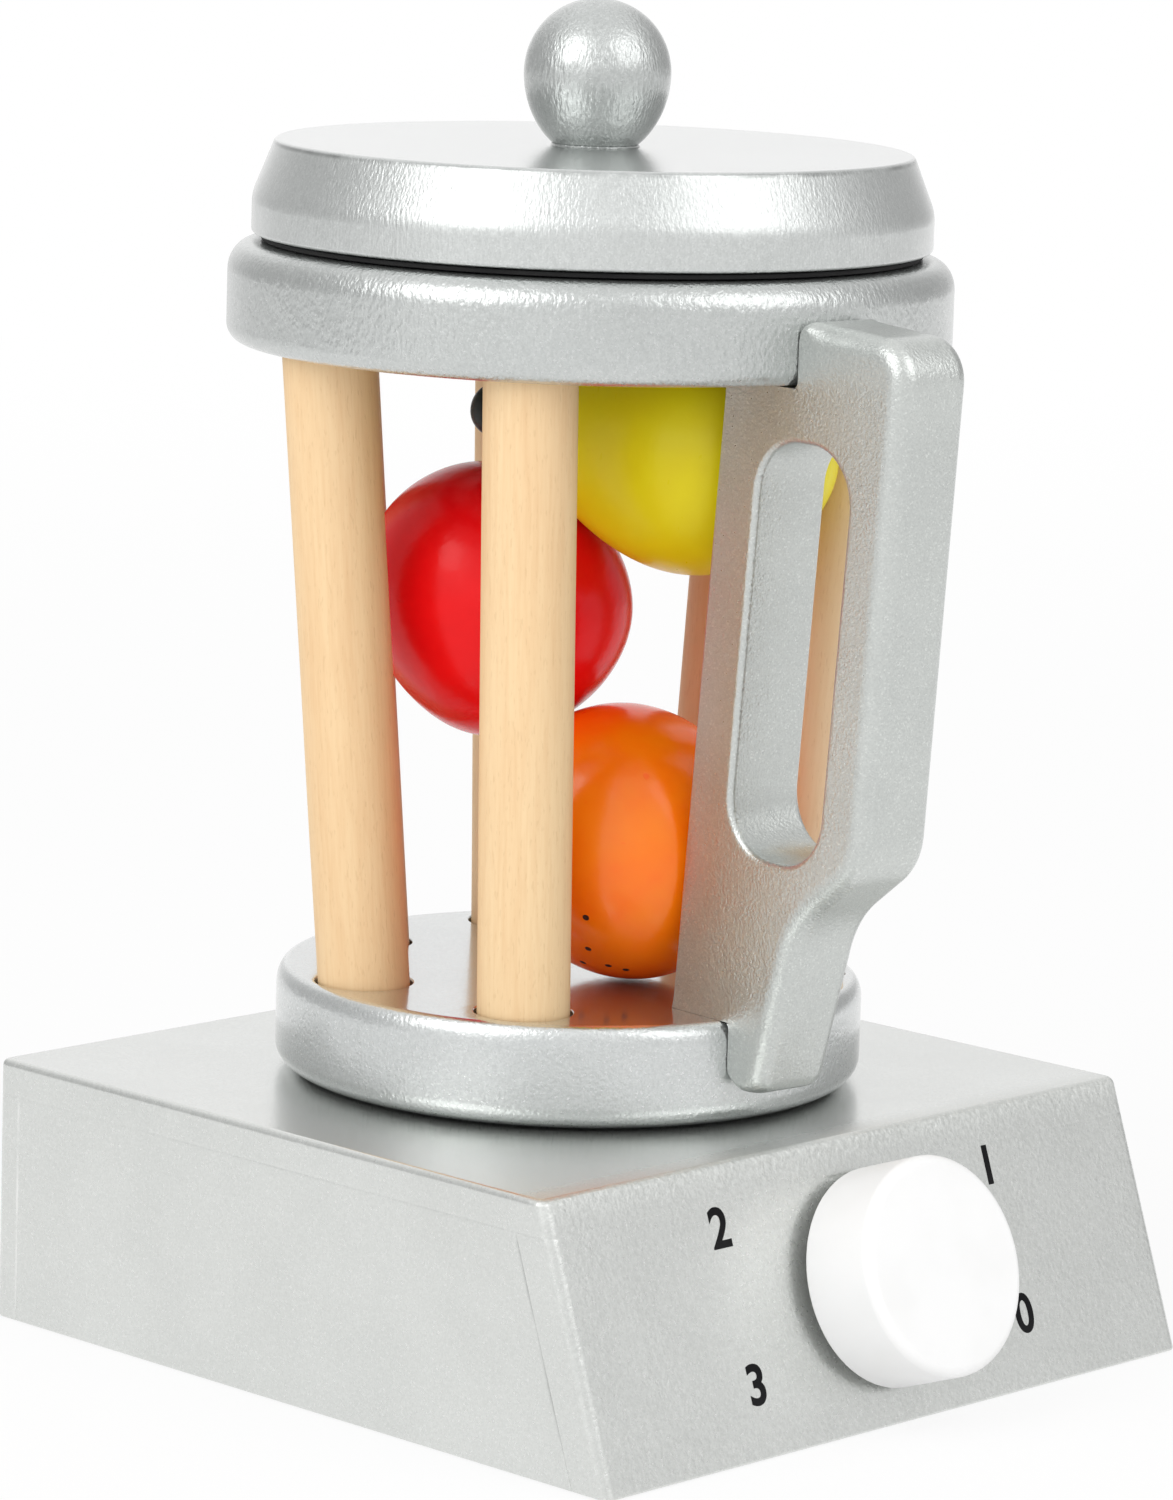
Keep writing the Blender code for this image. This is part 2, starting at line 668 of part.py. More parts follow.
def weight_handle_edges(mesh):
    """Mark which of the handle's rim edges are rounded: all but those against the disc and the ring."""
    shape = bmesh.new()
    shape.from_mesh(mesh)
    weights = shape.edges.layers.float.new("bevel_weight_edge")
    half = HANDLE_THICKNESS / 2
    slot_low = DISC_TOP + SLOT_FOOT_RISE - SEAM
    slot_high = RING_BOTTOM - SLOT_HEAD_DROP + SEAM
    for edge in shape.edges:
        on_rim = all(abs(abs(vert.co.z) - half) < SEAM for vert in edge.verts)
        if not on_rim or edge.calc_face_angle(0.0) < FRONT_SLOPE:
            continue
        middle = (edge.verts[0].co + edge.verts[1].co) / 2
        inner = handle_inner_reach(middle.y)
        along_slot = middle.x < inner + SLOT_WALL + SLOT_WIDTH + SEAM and middle.x > inner + SLOT_WALL - SEAM
        if along_slot and slot_low < middle.y < slot_high:
            edge[weights] = SLOT_ROUNDING_SHARE
        elif middle.x > DISC_RADIUS + 2 * SEAM and middle.y < RING_BOTTOM - 2 * SEAM:
            edge[weights] = 1.0
        elif middle.x > RING_RADIUS + 2 * SEAM:
            edge[weights] = 1.0
    shape.to_mesh(mesh)
    shape.free()


def add_handle(pivot, disc, ring):
    """Build the handle board and the two pins that hold it to the disc and the ring."""
    board, slot = handle_outlines()
    mesh = flat_mesh("jug_handle", [board, slot], HANDLE_THICKNESS)
    weight_handle_edges(mesh)
    handle = add_object("jug_handle", mesh, "silver_paint", pivot)
    frame = Matrix.Rotation(HANDLE_ANGLE, 4, "Z") @ Matrix.Rotation(math.pi / 2, 4, "X")
    handle.matrix_local = frame
    rounding = handle.modifiers.new("rounding", "BEVEL")
    rounding.limit_method = "WEIGHT"
    rounding.width = HANDLE_EDGE_ROUNDING
    rounding.segments = ARC_STEPS - 1
    handle_joints = {
        "handle_pin_lower": (DISC_RADIUS, DISC_TOP - HANDLE_FOOT_DROP / 2, disc),
        "handle_pin_upper": (RING_RADIUS, RING_BOTTOM + HANDLE_LIFT / 2, ring),
    }
    for name, (reach, height, body) in handle_joints.items():
        low = reach - HANDLE_PIN_IN_BODY
        high = reach + HANDLE_PIN_IN_HANDLE
        across = Matrix.Translation((0, 0, height)) @ Matrix.Rotation(math.pi / 2, 4, "Y")
        pin_frame = Matrix.Rotation(HANDLE_ANGLE, 4, "Z") @ across
        pin = lathe(name, [
            (0.0, high),
            (HANDLE_PIN_RADIUS, high),
            (HANDLE_PIN_RADIUS, low),
            (0.0, low),
        ], "pale_wood", FACETS_TINY, pivot)
        hole = bore_cutter(
            name + "_hole", HANDLE_PIN_RADIUS + SEAM, low - SEAM, high + SEAM, pivot, FACETS_TINY)
        pin.matrix_local = pin_frame
        hole.matrix_local = pin_frame
        add_boolean(handle, hole)
        add_boolean(body, hole)


def add_lid(pivot):
    """Build the lid: chamfered disc, plug with its thin spacer, ball and the screw that joins them."""
    band_top = LID_BOTTOM + LID_BAND
    lid = lathe("lid_disc", [
        (0.0, LID_TOP),
        (LID_TOP_RADIUS - LID_ROUNDING, LID_TOP),
        (LID_TOP_RADIUS - LID_ROUNDING / 3, LID_TOP - LID_ROUNDING / 4),
        (LID_TOP_RADIUS + LID_ROUNDING / 3, LID_TOP - LID_ROUNDING),
        (LID_RADIUS - LID_ROUNDING / 4, band_top + LID_ROUNDING / 3),
        (LID_RADIUS, band_top - LID_ROUNDING / 3),
        (LID_RADIUS, LID_BOTTOM + LID_FOOT_CHAMFER),
        (LID_RADIUS - LID_FOOT_CHAMFER, LID_BOTTOM),
        (0.0, LID_BOTTOM),
    ], "silver_paint", FACETS_LARGE, pivot)

    plug_radius = RING_BORE - PLUG_EASE
    plug_low = SPACER_BOTTOM - PLUG_DEPTH
    spacer_top = SPACER_BOTTOM + LID_SPACER_THICKNESS
    plug = lathe("lid_plug", [
        (0.0, spacer_top),
        (LID_SPACER_RADIUS, spacer_top),
        (LID_SPACER_RADIUS, SPACER_BOTTOM),
        (plug_radius, SPACER_BOTTOM),
        (plug_radius, plug_low + LID_FOOT_CHAMFER),
        (plug_radius - LID_FOOT_CHAMFER, plug_low),
        (0.0, plug_low),
    ], "silver_paint", FACETS_LARGE, pivot)

    ball_profile = [(0.0, BALL_RADIUS)]
    for step in range(1, FRUIT_ROWS // 2 + 1):
        turn = step / (FRUIT_ROWS // 2) * math.pi / 2
        ball_profile.append((BALL_RADIUS * math.sin(turn), BALL_RADIUS * math.cos(turn)))
    foot_turn = math.asin(BALL_FOOT_DROP / BALL_LOWER_HEIGHT)
    for step in range(1, FRUIT_ROWS // 2 + 1):
        turn = step / (FRUIT_ROWS // 2) * foot_turn
        ball_profile.append((BALL_RADIUS * math.cos(turn), -BALL_LOWER_HEIGHT * math.sin(turn)))
    ball_profile.append((0.0, -BALL_FOOT_DROP))
    ball = lathe("lid_ball", ball_profile, "silver_paint", FACETS_MEDIUM, pivot)
    ball.matrix_local = Matrix.Translation((0, 0, BALL_CENTRE))

    head = Matrix.Translation((0, 0, plug_low + SCREW_SINK))
    length = LID_TOP + LID_SCREW_BITE - plug_low - SCREW_SINK
    add_screw("lid_screw", head, LID_SCREW_SHANK, LID_SCREW_HEAD, length, pivot, plug, lid, ball)


class Fruit:
    """A turned fruit: its profile, the direction of its axis, and its place in the jug."""

    def __init__(self, half_length, radius, taper, pinch, azimuth, elevation, bearing):
        self.half_length = half_length
        self.axis = np.array([
            math.cos(azimuth) * math.cos(elevation),
            math.sin(azimuth) * math.cos(elevation),
            math.sin(elevation),
        ])
        self.bearing = np.array([math.cos(bearing), math.sin(bearing), 0.0])
        self.centre = np.zeros(3)
        turns = np.linspace(0.0, math.pi, FRUIT_ROWS + 1)
        along = np.cos(turns)
        swell = 1 + taper * along + pinch * along ** 2
        self.radii = radius * np.sin(turns) * swell
        self.heights = half_length * along
        self.radii[0] = 0.0
        self.radii[-1] = 0.0

    def profile(self):
        """Return the (radius, height) points, top first."""
        return list(zip(self.radii.tolist(), self.heights.tolist()))

    def frame(self):
        """Return the fruit's frame in the jug: its origin at the centre, its Z along the turned axis."""
        turn = Vector(self.axis).to_track_quat("Z", "Y").to_matrix().to_4x4()
        return Matrix.Translation(self.centre.tolist()) @ turn

    def surface(self):
        """Return points spread over the fruit's surface where it now lies."""
        side = np.cross(self.axis, (0.0, 0.0, 1.0))
        side /= np.linalg.norm(side)
        other = np.cross(self.axis, side)
        turns = np.linspace(0.0, math.tau, FACETS_MEDIUM, endpoint=False)
        spokes = np.outer(np.cos(turns), side) + np.outer(np.sin(turns), other)
        rings = self.radii[:, None, None] * spokes[None] + (self.heights[:, None] * self.axis)[:, None]
        return self.centre + rings.reshape(-1, 3)

    def clearance(self, points):
        """Return how far points lie outside the fruit, less than zero inside."""
        offset = points - self.centre
        along = offset @ self.axis
        away = np.sqrt(np.maximum((offset ** 2).sum(axis=1) - along ** 2, 0.0))
        fine = np.linspace(0.0, FRUIT_ROWS, FRUIT_ROWS * ARC_STEPS + 1)
        rows = np.arange(FRUIT_ROWS + 1)
        edge_radii = np.interp(fine, rows, self.radii)
        edge_heights = np.interp(fine, rows, self.heights)
        spread = np.hypot(along[:, None] - edge_heights, away[:, None] - edge_radii).min(axis=1)
        wall = np.interp(along, edge_heights[::-1], edge_radii[::-1], left=-1.0, right=-1.0)
        return np.where(away < wall, -spread, spread)


def wall_clearance(points):
    """Return the least room between points and the dowels, handle and ring of the jug."""
    room = np.full(len(points), RING_RADIUS)
    below_ring = points[:, 2] < RING_BOTTOM + SEAM
    for angle in post_angles():
        frame = np.array(post_frame(angle))
        offset = points - frame[:3, 3]
        along = offset @ frame[:3, 2]
        away = np.linalg.norm(offset - np.outer(along, frame[:3, 2]), axis=1) - DOWEL_RADIUS
        room = np.where(below_ring, np.minimum(room, away), room)
    reach = points[:, 0] * math.cos(HANDLE_ANGLE) + points[:, 1] * math.sin(HANDLE_ANGLE)
    aside = np.abs(points[:, 1] * math.cos(HANDLE_ANGLE) - points[:, 0] * math.sin(HANDLE_ANGLE))
    short = handle_inner_reach(points[:, 2]) - reach
    wide = aside - HANDLE_THICKNESS / 2
    handle = np.where(np.maximum(short, wide) > 0, np.hypot(np.maximum(short, 0), np.maximum(wide, 0)), -SEAM)
    room = np.where(below_ring, np.minimum(room, handle), room)
    bore = RING_BORE - np.hypot(points[:, 0], points[:, 1])
    return np.where(points[:, 2] > RING_BOTTOM - SEAM, np.minimum(room, bore), room).min()


def settle(fruit, others, rest_gap):
    """Lean a fruit out along its bearing till it meets the jug, as low as what lies under it allows."""

    def place(reach, height):
        fruit.centre = fruit.bearing * reach + np.array([0.0, 0.0, height])
        return fruit.surface()

    def lean(height):
        near, far = 0.0, RING_RADIUS
        for _ in range(FRUIT_ROWS):
            middle = (near + far) / 2
            if wall_clearance(place(middle, height)) > FRUIT_GAP:
                near = middle
            else:
                far = middle
        return place(near, height)

    low, high = DISC_TOP, RING_TOP
    for _ in range(FRUIT_ROWS):
        middle = (low + high) / 2
        points = lean(middle)
        rooms = [(points[:, 2] - DISC_TOP).min()]
        rooms += [other.clearance(points).min() for other in others]
        if min(rooms) > rest_gap:
            high = middle
        else:
            low = middle
    lean(high)


def add_fruit(pivot):
    """Settle the fruit in the jug, lowest first, and build them."""
    orange = Fruit(ORANGE_HALF_LENGTH, ORANGE_RADIUS, ORANGE_TAPER_SHARE, ORANGE_PINCH_SHARE,
                   ORANGE_AZIMUTH, ORANGE_ELEVATION, ORANGE_BEARING)
    red = Fruit(RED_HALF_LENGTH, RED_RADIUS, RED_TAPER_SHARE, RED_PINCH_SHARE,
                RED_AZIMUTH, RED_ELEVATION, RED_BEARING)
    yellow = Fruit(YELLOW_HALF_LENGTH, YELLOW_RADIUS, YELLOW_TAPER_SHARE, YELLOW_PINCH_SHARE,
                   YELLOW_AZIMUTH, YELLOW_ELEVATION, YELLOW_BEARING)
    settle(orange, [], FRUIT_GAP)
    settle(red, [orange], FRUIT_GAP)
    settle(yellow, [orange, red], YELLOW_WEDGE_GAP)
    for name, fruit, finish in (("orange_fruit", orange, "orange_paint"),
                                ("red_fruit", red, "red_paint"),
                                ("yellow_fruit", yellow, "yellow_paint")):
        obj = lathe(name, fruit.profile(), finish, FACETS_MEDIUM, pivot)
        obj.matrix_local = fruit.frame()
        print(name, "centre", [round(float(value), 5) for value in fruit.centre + (0, JUG_SETBACK, 0)],
              "axis", [round(float(value), 4) for value in fruit.axis])

    bead_height = YELLOW_HALF_LENGTH + SEAM + BEAD_RADIUS
    bead_profile = []
    for step in range(FRUIT_ROWS // 2 + 1):
        turn = step / (FRUIT_ROWS // 2) * math.pi
        across = BEAD_RADIUS * math.sin(turn) if 0 < step < FRUIT_ROWS // 2 else 0.0
        bead_profile.append((across, BEAD_RADIUS * math.cos(turn)))
    bead = lathe("yellow_fruit_bead", bead_profile, "black_paint", FACETS_SMALL, pivot)
    bead.matrix_local = yellow.frame() @ Matrix.Translation((0, 0, bead_height))


def main():
    """Build the whole toy."""
    clear_scene()
    for name in ("toy_blender", "cutters"):
        collection = bpy.data.collections.new(name)
        bpy.context.scene.collection.children.link(collection)
    top, front = add_base()
    add_knob(front)
    pivot = add_spindle(top)
    add_jug(pivot)
    add_lid(pivot)
    add_fruit(pivot)


main()
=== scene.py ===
"""Toy blender of painted wood, dressed for its photograph.

A silver box base with a white knob, a jug of splayed dowels with a side handle, a lid with a ball,
and three turned fruits. Metres, +Z up, the sloped front faces -Y. Each sub-assembly is a class that
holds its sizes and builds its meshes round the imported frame.
"""

import json
import logging
import math
from dataclasses import dataclass, field
from enum import Enum
from typing import Any, Callable, Iterable, Mapping, Optional, Sequence, Union

import bmesh
import bpy
import numpy as np
from mathutils import Matrix, Vector, noise
from mathutils.geometry import tessellate_polygon

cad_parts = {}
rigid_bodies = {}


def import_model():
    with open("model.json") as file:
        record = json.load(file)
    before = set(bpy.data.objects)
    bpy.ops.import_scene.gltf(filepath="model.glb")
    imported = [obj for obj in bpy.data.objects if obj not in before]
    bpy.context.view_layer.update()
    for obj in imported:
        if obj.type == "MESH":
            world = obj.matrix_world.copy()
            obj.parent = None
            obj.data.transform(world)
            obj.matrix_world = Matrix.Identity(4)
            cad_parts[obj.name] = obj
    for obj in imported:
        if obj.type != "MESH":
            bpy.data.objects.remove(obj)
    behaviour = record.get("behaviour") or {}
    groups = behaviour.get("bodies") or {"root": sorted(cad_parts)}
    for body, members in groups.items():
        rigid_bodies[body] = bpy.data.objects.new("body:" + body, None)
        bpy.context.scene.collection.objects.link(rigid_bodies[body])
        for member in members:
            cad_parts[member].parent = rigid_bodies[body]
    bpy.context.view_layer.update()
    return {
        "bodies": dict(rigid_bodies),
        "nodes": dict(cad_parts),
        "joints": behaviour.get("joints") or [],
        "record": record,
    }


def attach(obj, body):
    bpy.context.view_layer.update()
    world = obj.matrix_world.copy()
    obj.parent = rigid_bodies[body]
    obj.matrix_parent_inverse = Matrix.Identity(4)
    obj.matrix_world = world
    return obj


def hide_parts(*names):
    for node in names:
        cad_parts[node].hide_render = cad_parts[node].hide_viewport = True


LOG = logging.getLogger("toy_blender")
UP = (0.0, 0.0, 1.0)
SHARP_EDGE = math.radians(38)
SOFT_EDGE = math.radians(80)
STRAY_SEED = 2

Point = tuple[float, float]
Colour = tuple[float, float, float]
Operand = Union["Value", float]


class Slot(Enum):
    """The record's material slots."""

    SILVER = "silver_paint"
    PALE_WOOD = "pale_wood"
    INNER_WOOD = "inner_wood"
    WHITE = "white_paint"
    RED = "red_paint"
    YELLOW = "yellow_paint"
    ORANGE = "orange_paint"
    BLACK = "black_paint"
    STEEL = "steel"


class Body(Enum):
    """The bodies that pieces ride on."""

    BASE = "base"
    KNOB = "knob_group"
    SPINDLE = "spindle_group"
    JUG = "jug_group"
    LID = "lid_group"
    RED_FRUIT = "red_fruit_group"
    YELLOW_FRUIT = "yellow_fruit_group"
    ORANGE_FRUIT = "orange_fruit_group"


class Grain(Enum):
    """How the wood's fibres under a paint stretch: the shares of the fine scale along local X, Y and Z."""

    UPRIGHT = (1.0, 1.0, 0.32)
    WORMY = (1.0, 1.0, 0.6)
    EVEN = (1.0, 1.0, 1.0)


@dataclass(frozen=True)
class Value:
    """One output of a material's graph. Arithmetic on it adds Math nodes."""

    graph: "Graph"
    socket: bpy.types.NodeSocket

    def _math(self, operation: str, first: Operand, second: Operand) -> "Value":
        """Return a Math node of two operands."""
        return self.graph.node("ShaderNodeMath", {"operation": operation}, {0: first, 1: second})

    def __add__(self, other: Operand) -> "Value":
        """Return the sum."""
        return self._math("ADD", self, other)

    def __radd__(self, other: float) -> "Value":
        """Return the sum, number first."""
        return self._math("ADD", other, self)

    def __sub__(self, other: Operand) -> "Value":
        """Return the difference."""
        return self._math("SUBTRACT", self, other)

    def __rsub__(self, other: float) -> "Value":
        """Return the difference, number first."""
        return self._math("SUBTRACT", other, self)

    def __mul__(self, other: Operand) -> "Value":
        """Return the product."""
        return self._math("MULTIPLY", self, other)

    def __rmul__(self, other: float) -> "Value":
        """Return the product, number first."""
        return self._math("MULTIPLY", other, self)

    def __pow__(self, other: Operand) -> "Value":
        """Return the power."""
        return self._math("POWER", self, other)

    def most(self, other: Operand) -> "Value":
        """Return the larger of the two."""
        return self._math("MAXIMUM", self, other)

    def smooth(self, low: float, high: float) -> "Value":
        """Return 0 below low and 1 above high, with a smooth step between.

        Args:
            low: The value at which the step starts.
            high: The value at which it ends; below low it turns the step round.

        Returns:
            The stepped value, from 0 to 1.
        """
        settings = {"interpolation_type": "SMOOTHSTEP", "clamp": True}
        return self.graph.node("ShaderNodeMapRange", settings, {
            "Value": self, "From Min": low, "From Max": high, "To Min": 0.0, "To Max": 1.0})


class Graph:
    """The nodes of one material or of the world."""

    def __init__(self, tree: bpy.types.NodeTree) -> None:
        """Take over a node tree and clear it."""
        self.tree = tree
        tree.nodes.clear()

    def node(
        self,
        kind: str,
        settings: Optional[Mapping[str, Any]] = None,
        sockets: Optional[Mapping[Union[str, int], Any]] = None,
        output: Union[str, int] = 0,
    ) -> Value:
        """Add a node.

        Args:
            kind: The node's type.
            settings: Its properties, set before its sockets.
            sockets: A value, or a Value to link, for each input by name or number.
            output: The output that the caller wants.

        Returns:
            That output; nothing for a node that ends the graph.
        """
        node = self.tree.nodes.new(kind)
        for key, setting in (settings or {}).items():
            setattr(node, key, setting)
        for key, given in (sockets or {}).items():
            if isinstance(given, Value):
                self.tree.links.new(given.socket, node.inputs[key])
            else:
                node.inputs[key].default_value = given
        return Value(self, node.outputs[output]) if len(node.outputs) else None

    def own(self) -> Value:
        """Return the piece's own coordinates."""
        return self.node("ShaderNodeTexCoord", output="Object")

    def ray(self, kind: str) -> Value:
        """Return 1 for rays of one kind, such as Is Camera Ray, and 0 for others."""
        return self.node("ShaderNodeLightPath", output=kind)

    def along(self, place: Value, way: Sequence[float]) -> Value:
        """Return how far a place lies along a direction."""
        both = {0: place, 1: tuple(way)}
        return self.node("ShaderNodeVectorMath", {"operation": "DOT_PRODUCT"}, both, "Value")

    def place(self, stretch: Sequence[float] = (1.0, 1.0, 1.0), shift: float = 0.0) -> Value:
        """Return the piece's own coordinates, stretched and shifted.

        Args:
            stretch: The scale along each local axis.
            shift: How far the pattern is moved, so that two like pieces differ.

        Returns:
            The coordinates.
        """
        return self.node("ShaderNodeMapping", None, {
            "Vector": self.own(), "Location": (shift, -shift, shift / 2), "Scale": tuple(stretch)})

    def noise(self, place: Value, scale: float, detail: float = 2.0, rough: float = 0.5) -> Value:
        """Return a noise from 0 to 1.

        Args:
            place: The coordinates.
            scale: How many features there are to a metre.
            detail: How many finer layers it has.
            rough: How strong they are.

        Returns:
            The noise.
        """
        return self.node("ShaderNodeTexNoise", None, {
            "Vector": place, "Scale": scale, "Detail": detail, "Roughness": rough})

    def mix(self, factor: Operand, first: Any, second: Any) -> Value:
        """Return a mix of two colours.

        Args:
            factor: 0 for the first and 1 for the second.
            first: A colour or a Value.
            second: A colour or a Value.

        Returns:
            The mixed colour.
        """
        sides = [given if isinstance(given, Value) else (*given, 1.0) for given in (first, second)]
        return self.node("ShaderNodeMix", {"data_type": "RGBA"}, {0: factor, 6: sides[0], 7: sides[1]}, 2)

    def bump(self, height: Value, distance: float, below: Optional[Value] = None) -> Value:
        """Return a normal raised by a height.

        Args:
            height: The height, from 0 to 1.
            distance: What 1 stands for, in metres.
            below: The normal that this one lies on.

        Returns:
            The normal.
        """
        sockets = {"Height": height, "Distance": distance, "Strength": 1.0}
        if below is not None:
            sockets["Normal"] = below
        return self.node("ShaderNodeBump", None, sockets)

    def surface(self, sockets: Mapping[str, Any]) -> None:
        """End the graph in a Principled shader with these sockets."""
        shader = self.node("ShaderNodeBsdfPrincipled", None, sockets)
        self.node("ShaderNodeOutputMaterial", None, {"Surface": shader})


class Finish:
    """A finish that is laid on a piece as a material of its own."""

    title: str

    def lay(self, graph: Graph) -> None:
        """Build the finish's nodes."""
        raise NotImplementedError

    def material(self) -> bpy.types.Material:
        """Return the finish as a material, made once for each title."""
        found = bpy.data.materials.get(self.title)
        if found is None:
            found = bpy.data.materials.new(self.title)
            found.use_nodes = True
            self.lay(Graph(found.node_tree))
        return found


@dataclass(frozen=True)
class Zone:
    """A part of a piece where its paint is rougher or smoother: the side towards one direction."""

    way: tuple[float, float, float]
    low: float
    high: float
    amount: float
    dull: float = 0.0

    @classmethod
    def level(cls, height: float, start: float, end: float, amount: float, dull: float) -> "Zone":
        """Return the zone of a level top.

        Args:
            height: The height of the top.
            start: How far under it the zone begins.
            end: How far under it the zone is whole.
            amount: How much rougher the paint is; less than zero for smoother.
            dull: How much duller it is.

        Returns:
            The zone.
        """
        return cls(UP, height - start, height - end, amount, dull)

    def weight(self, graph: Graph) -> Value:
        """Return how much of the zone is at each point, from 0 to 1."""
        return graph.along(graph.own(), self.way).smooth(self.low, self.high)


@dataclass(frozen=True)
class SeamAndSheenLine:
    """A thin coloured line on the paint: darker where the paint sinks between two boards, and also used for a
    painted highlight on a groove's flank and a painted reflection along an edge.
    """

    way: tuple[float, float, float]
    place: float
    width: float
    ceiling: float
    tone: Colour
    strength: float
    fade: float = 0.002
    break_scale: float = 90.0

    def weight(self, graph: Graph) -> Value:
        """Return how much of the line is at each point, from 0 to its strength."""
        own = graph.own()
        along = graph.along(own, self.way)
        away = (along - self.place).most(self.place - along)
        below = graph.along(own, UP).smooth(self.ceiling, self.ceiling - self.fade)
        broken = graph.noise(graph.place(), self.break_scale, 3.0, 0.6).smooth(0.32, 0.62)
        return away.smooth(self.width, 0.0) * below * broken * self.strength


@dataclass(frozen=True)
class SilverLacquer(Finish):
    """Satin silver lacquer sprayed over wood: fine flakes, a soft peel, and fibres that show through. Each
    piece gets its own copy, whose colour is set lighter or darker to paint how brightly that piece is lit.
    """

    title: str
    grain: Grain = Grain.EVEN
    fibre_height: float = 0.00015
    fibre_scale: float = 1000.0
    shift: float = 0.0
    colour: Colour = (0.515, 0.535, 0.525)
    pale: Colour = (0.66, 0.68, 0.67)
    peel_height: float = 0.000018
    flake_height: float = 0.000004
    metal: float = 0.92
    shine: float = 0.28
    coat: float = 0.7
    coat_dull: float = 0.2
    sparkle: float = 0.2
    relief: float = 0.0
    zones: tuple[Zone, ...] = ()
    seams: tuple[SeamAndSheenLine, ...] = ()
    swell_scale: float = 160.0
    peel_scale: float = 420.0
    cloud_scale: float = 45.0
    flake_scale: float = 3600.0

    def lay(self, graph: Graph) -> None:
        """Build the lacquer's nodes."""
        place = graph.place(shift=self.shift)
        fibres = graph.noise(graph.place(self.grain.value, self.shift), self.fibre_scale, 1.5, 0.55)
        swell = graph.noise(place, self.swell_scale).smooth(0.30, 0.75)
        peel = graph.noise(place, self.peel_scale)
        cloud = graph.noise(place, self.cloud_scale, 3.0, 0.55)
        cells = {"Vector": place, "Scale": self.flake_scale}
        flake = graph.node("ShaderNodeTexVoronoi", {"feature": "F1"}, cells, "Color")
        glint = graph.node("ShaderNodeSeparateColor", None, {"Color": flake})
        spark = glint.smooth(0.90, 1.0)
        light = cloud.smooth(0.35, 0.65) * 0.16 + glint * 0.40 + spark * self.sparkle + self.relief / 2
        shown = (fibres.smooth(0.3, 0.7) - 0.5) * self.relief
        raised = fibres * (0.55 + 0.45 * swell)
        rough = self.shine + 0.08 * fibres - 0.08 * spark
        for zone in self.zones:
            weight = zone.weight(graph)
            raised = raised * (1.0 + zone.amount * weight)
            shown = shown * (1.0 + zone.amount * weight)
            rough = rough + zone.dull * weight
        tone = graph.mix(light + shown, self.colour, self.pale)
        for seam in self.seams:
            tone = graph.mix(seam.weight(graph), tone, seam.tone)
        low = graph.bump(peel, self.peel_height)
        middle = graph.bump(raised, self.fibre_height, low)
        top = graph.bump(glint, self.flake_height, middle)
        graph.surface({
            "Base Color": tone,
            "Metallic": self.metal,
            "Roughness": rough,
            "Coat Weight": self.coat,
            "Coat Roughness": self.coat_dull,
            "Normal": top,
        })


@dataclass(frozen=True)
class SealedWood(Finish):
    """Pale close-grained wood under a thin clear sealer, its fibres along local Z."""

    title: str
    shift: float = 0.0
    pale: Colour = (0.90, 0.70, 0.45)
    warm: Colour = (0.80, 0.56, 0.31)
    fleck: Colour = (0.60, 0.38, 0.19)
    along: tuple[float, float, float] = (1.0, 1.0, 0.06)
    short: tuple[float, float, float] = (1.0, 1.0, 0.20)
    fibre_height: float = 0.00004
    shine: float = 0.50
    band_scale: float = 120.0
    fibre_scale: float = 1300.0
    fleck_scale: float = 2600.0

    def lay(self, graph: Graph) -> None:
        """Build the wood's nodes."""
        lengthwise = graph.place(self.along, self.shift)
        bands = graph.noise(lengthwise, self.band_scale, 3.0)
        fibres = graph.noise(lengthwise, self.fibre_scale, 3.0, 0.65)
        flecks = graph.noise(graph.place(self.short, self.shift), self.fleck_scale, 1.0)
        mark = flecks.smooth(0.60, 0.74)
        warmth = bands.smooth(0.30, 0.75) * 0.55 + fibres.smooth(0.3, 0.8) * 0.45
        tone = graph.mix(warmth, self.pale, self.warm)
        tone = graph.mix(mark * 0.26, tone, self.fleck)
        graph.surface({
            "Base Color": tone,
            "Roughness": self.shine + 0.16 * fibres,
            "Normal": graph.bump(fibres - mark * 0.5, self.fibre_height),
        })


@dataclass(frozen=True)
class GlossPaint(Finish):
    """Gloss lacquer over turned wood, with the wood's turning just showing in the shine. With rim, its colour
    deepens towards the silhouette as painted shade.
    """

    title: str
    colour: Colour
    deep_tone_and_edge_shade: Colour
    shift: float = 0.0
    ripple: tuple[float, float, float] = (0.35, 0.35, 1.0)
    ripple_height: float = 0.00003
    peel_height: float = 0.000012
    shine: float = 0.27
    gloss: float = 0.30
    rim: float = 0.0
    cloud_scale: float = 60.0
    ripple_scale: float = 850.0
    peel_scale: float = 1500.0
    pit_scale: float = 420.0

    def lay(self, graph: Graph) -> None:
        """Build the paint's nodes."""
        place = graph.place(shift=self.shift)
        cloud = graph.noise(place, self.cloud_scale, 3.0, 0.6)
        # Painted shade: with rim, the colour turns to the deep tone where the surface faces away from the
        # camera, darkening the silhouette.
        away = graph.node("ShaderNodeLayerWeight", None, {"Blend": 0.5}, "Facing") ** 1.5 * self.rim
        turning = graph.noise(graph.place(self.ripple, self.shift), self.ripple_scale, 2.0, 0.55)
        peel = graph.noise(place, self.peel_scale, 1.0)
        pits = graph.noise(place, self.pit_scale, 1.0, 0.4).smooth(0.74, 0.82)
        depth = cloud.smooth(0.3, 0.8) * 0.4 + pits * 0.3 + away
        low = graph.bump(turning - pits * 0.6, self.ripple_height)
        graph.surface({
            "Base Color": graph.mix(depth, self.colour, self.deep_tone_and_edge_shade),
            "Roughness": self.shine + 0.12 * turning,
            "Normal": graph.bump(peel, self.peel_height, low),
            "Specular IOR Level": self.gloss,
        })


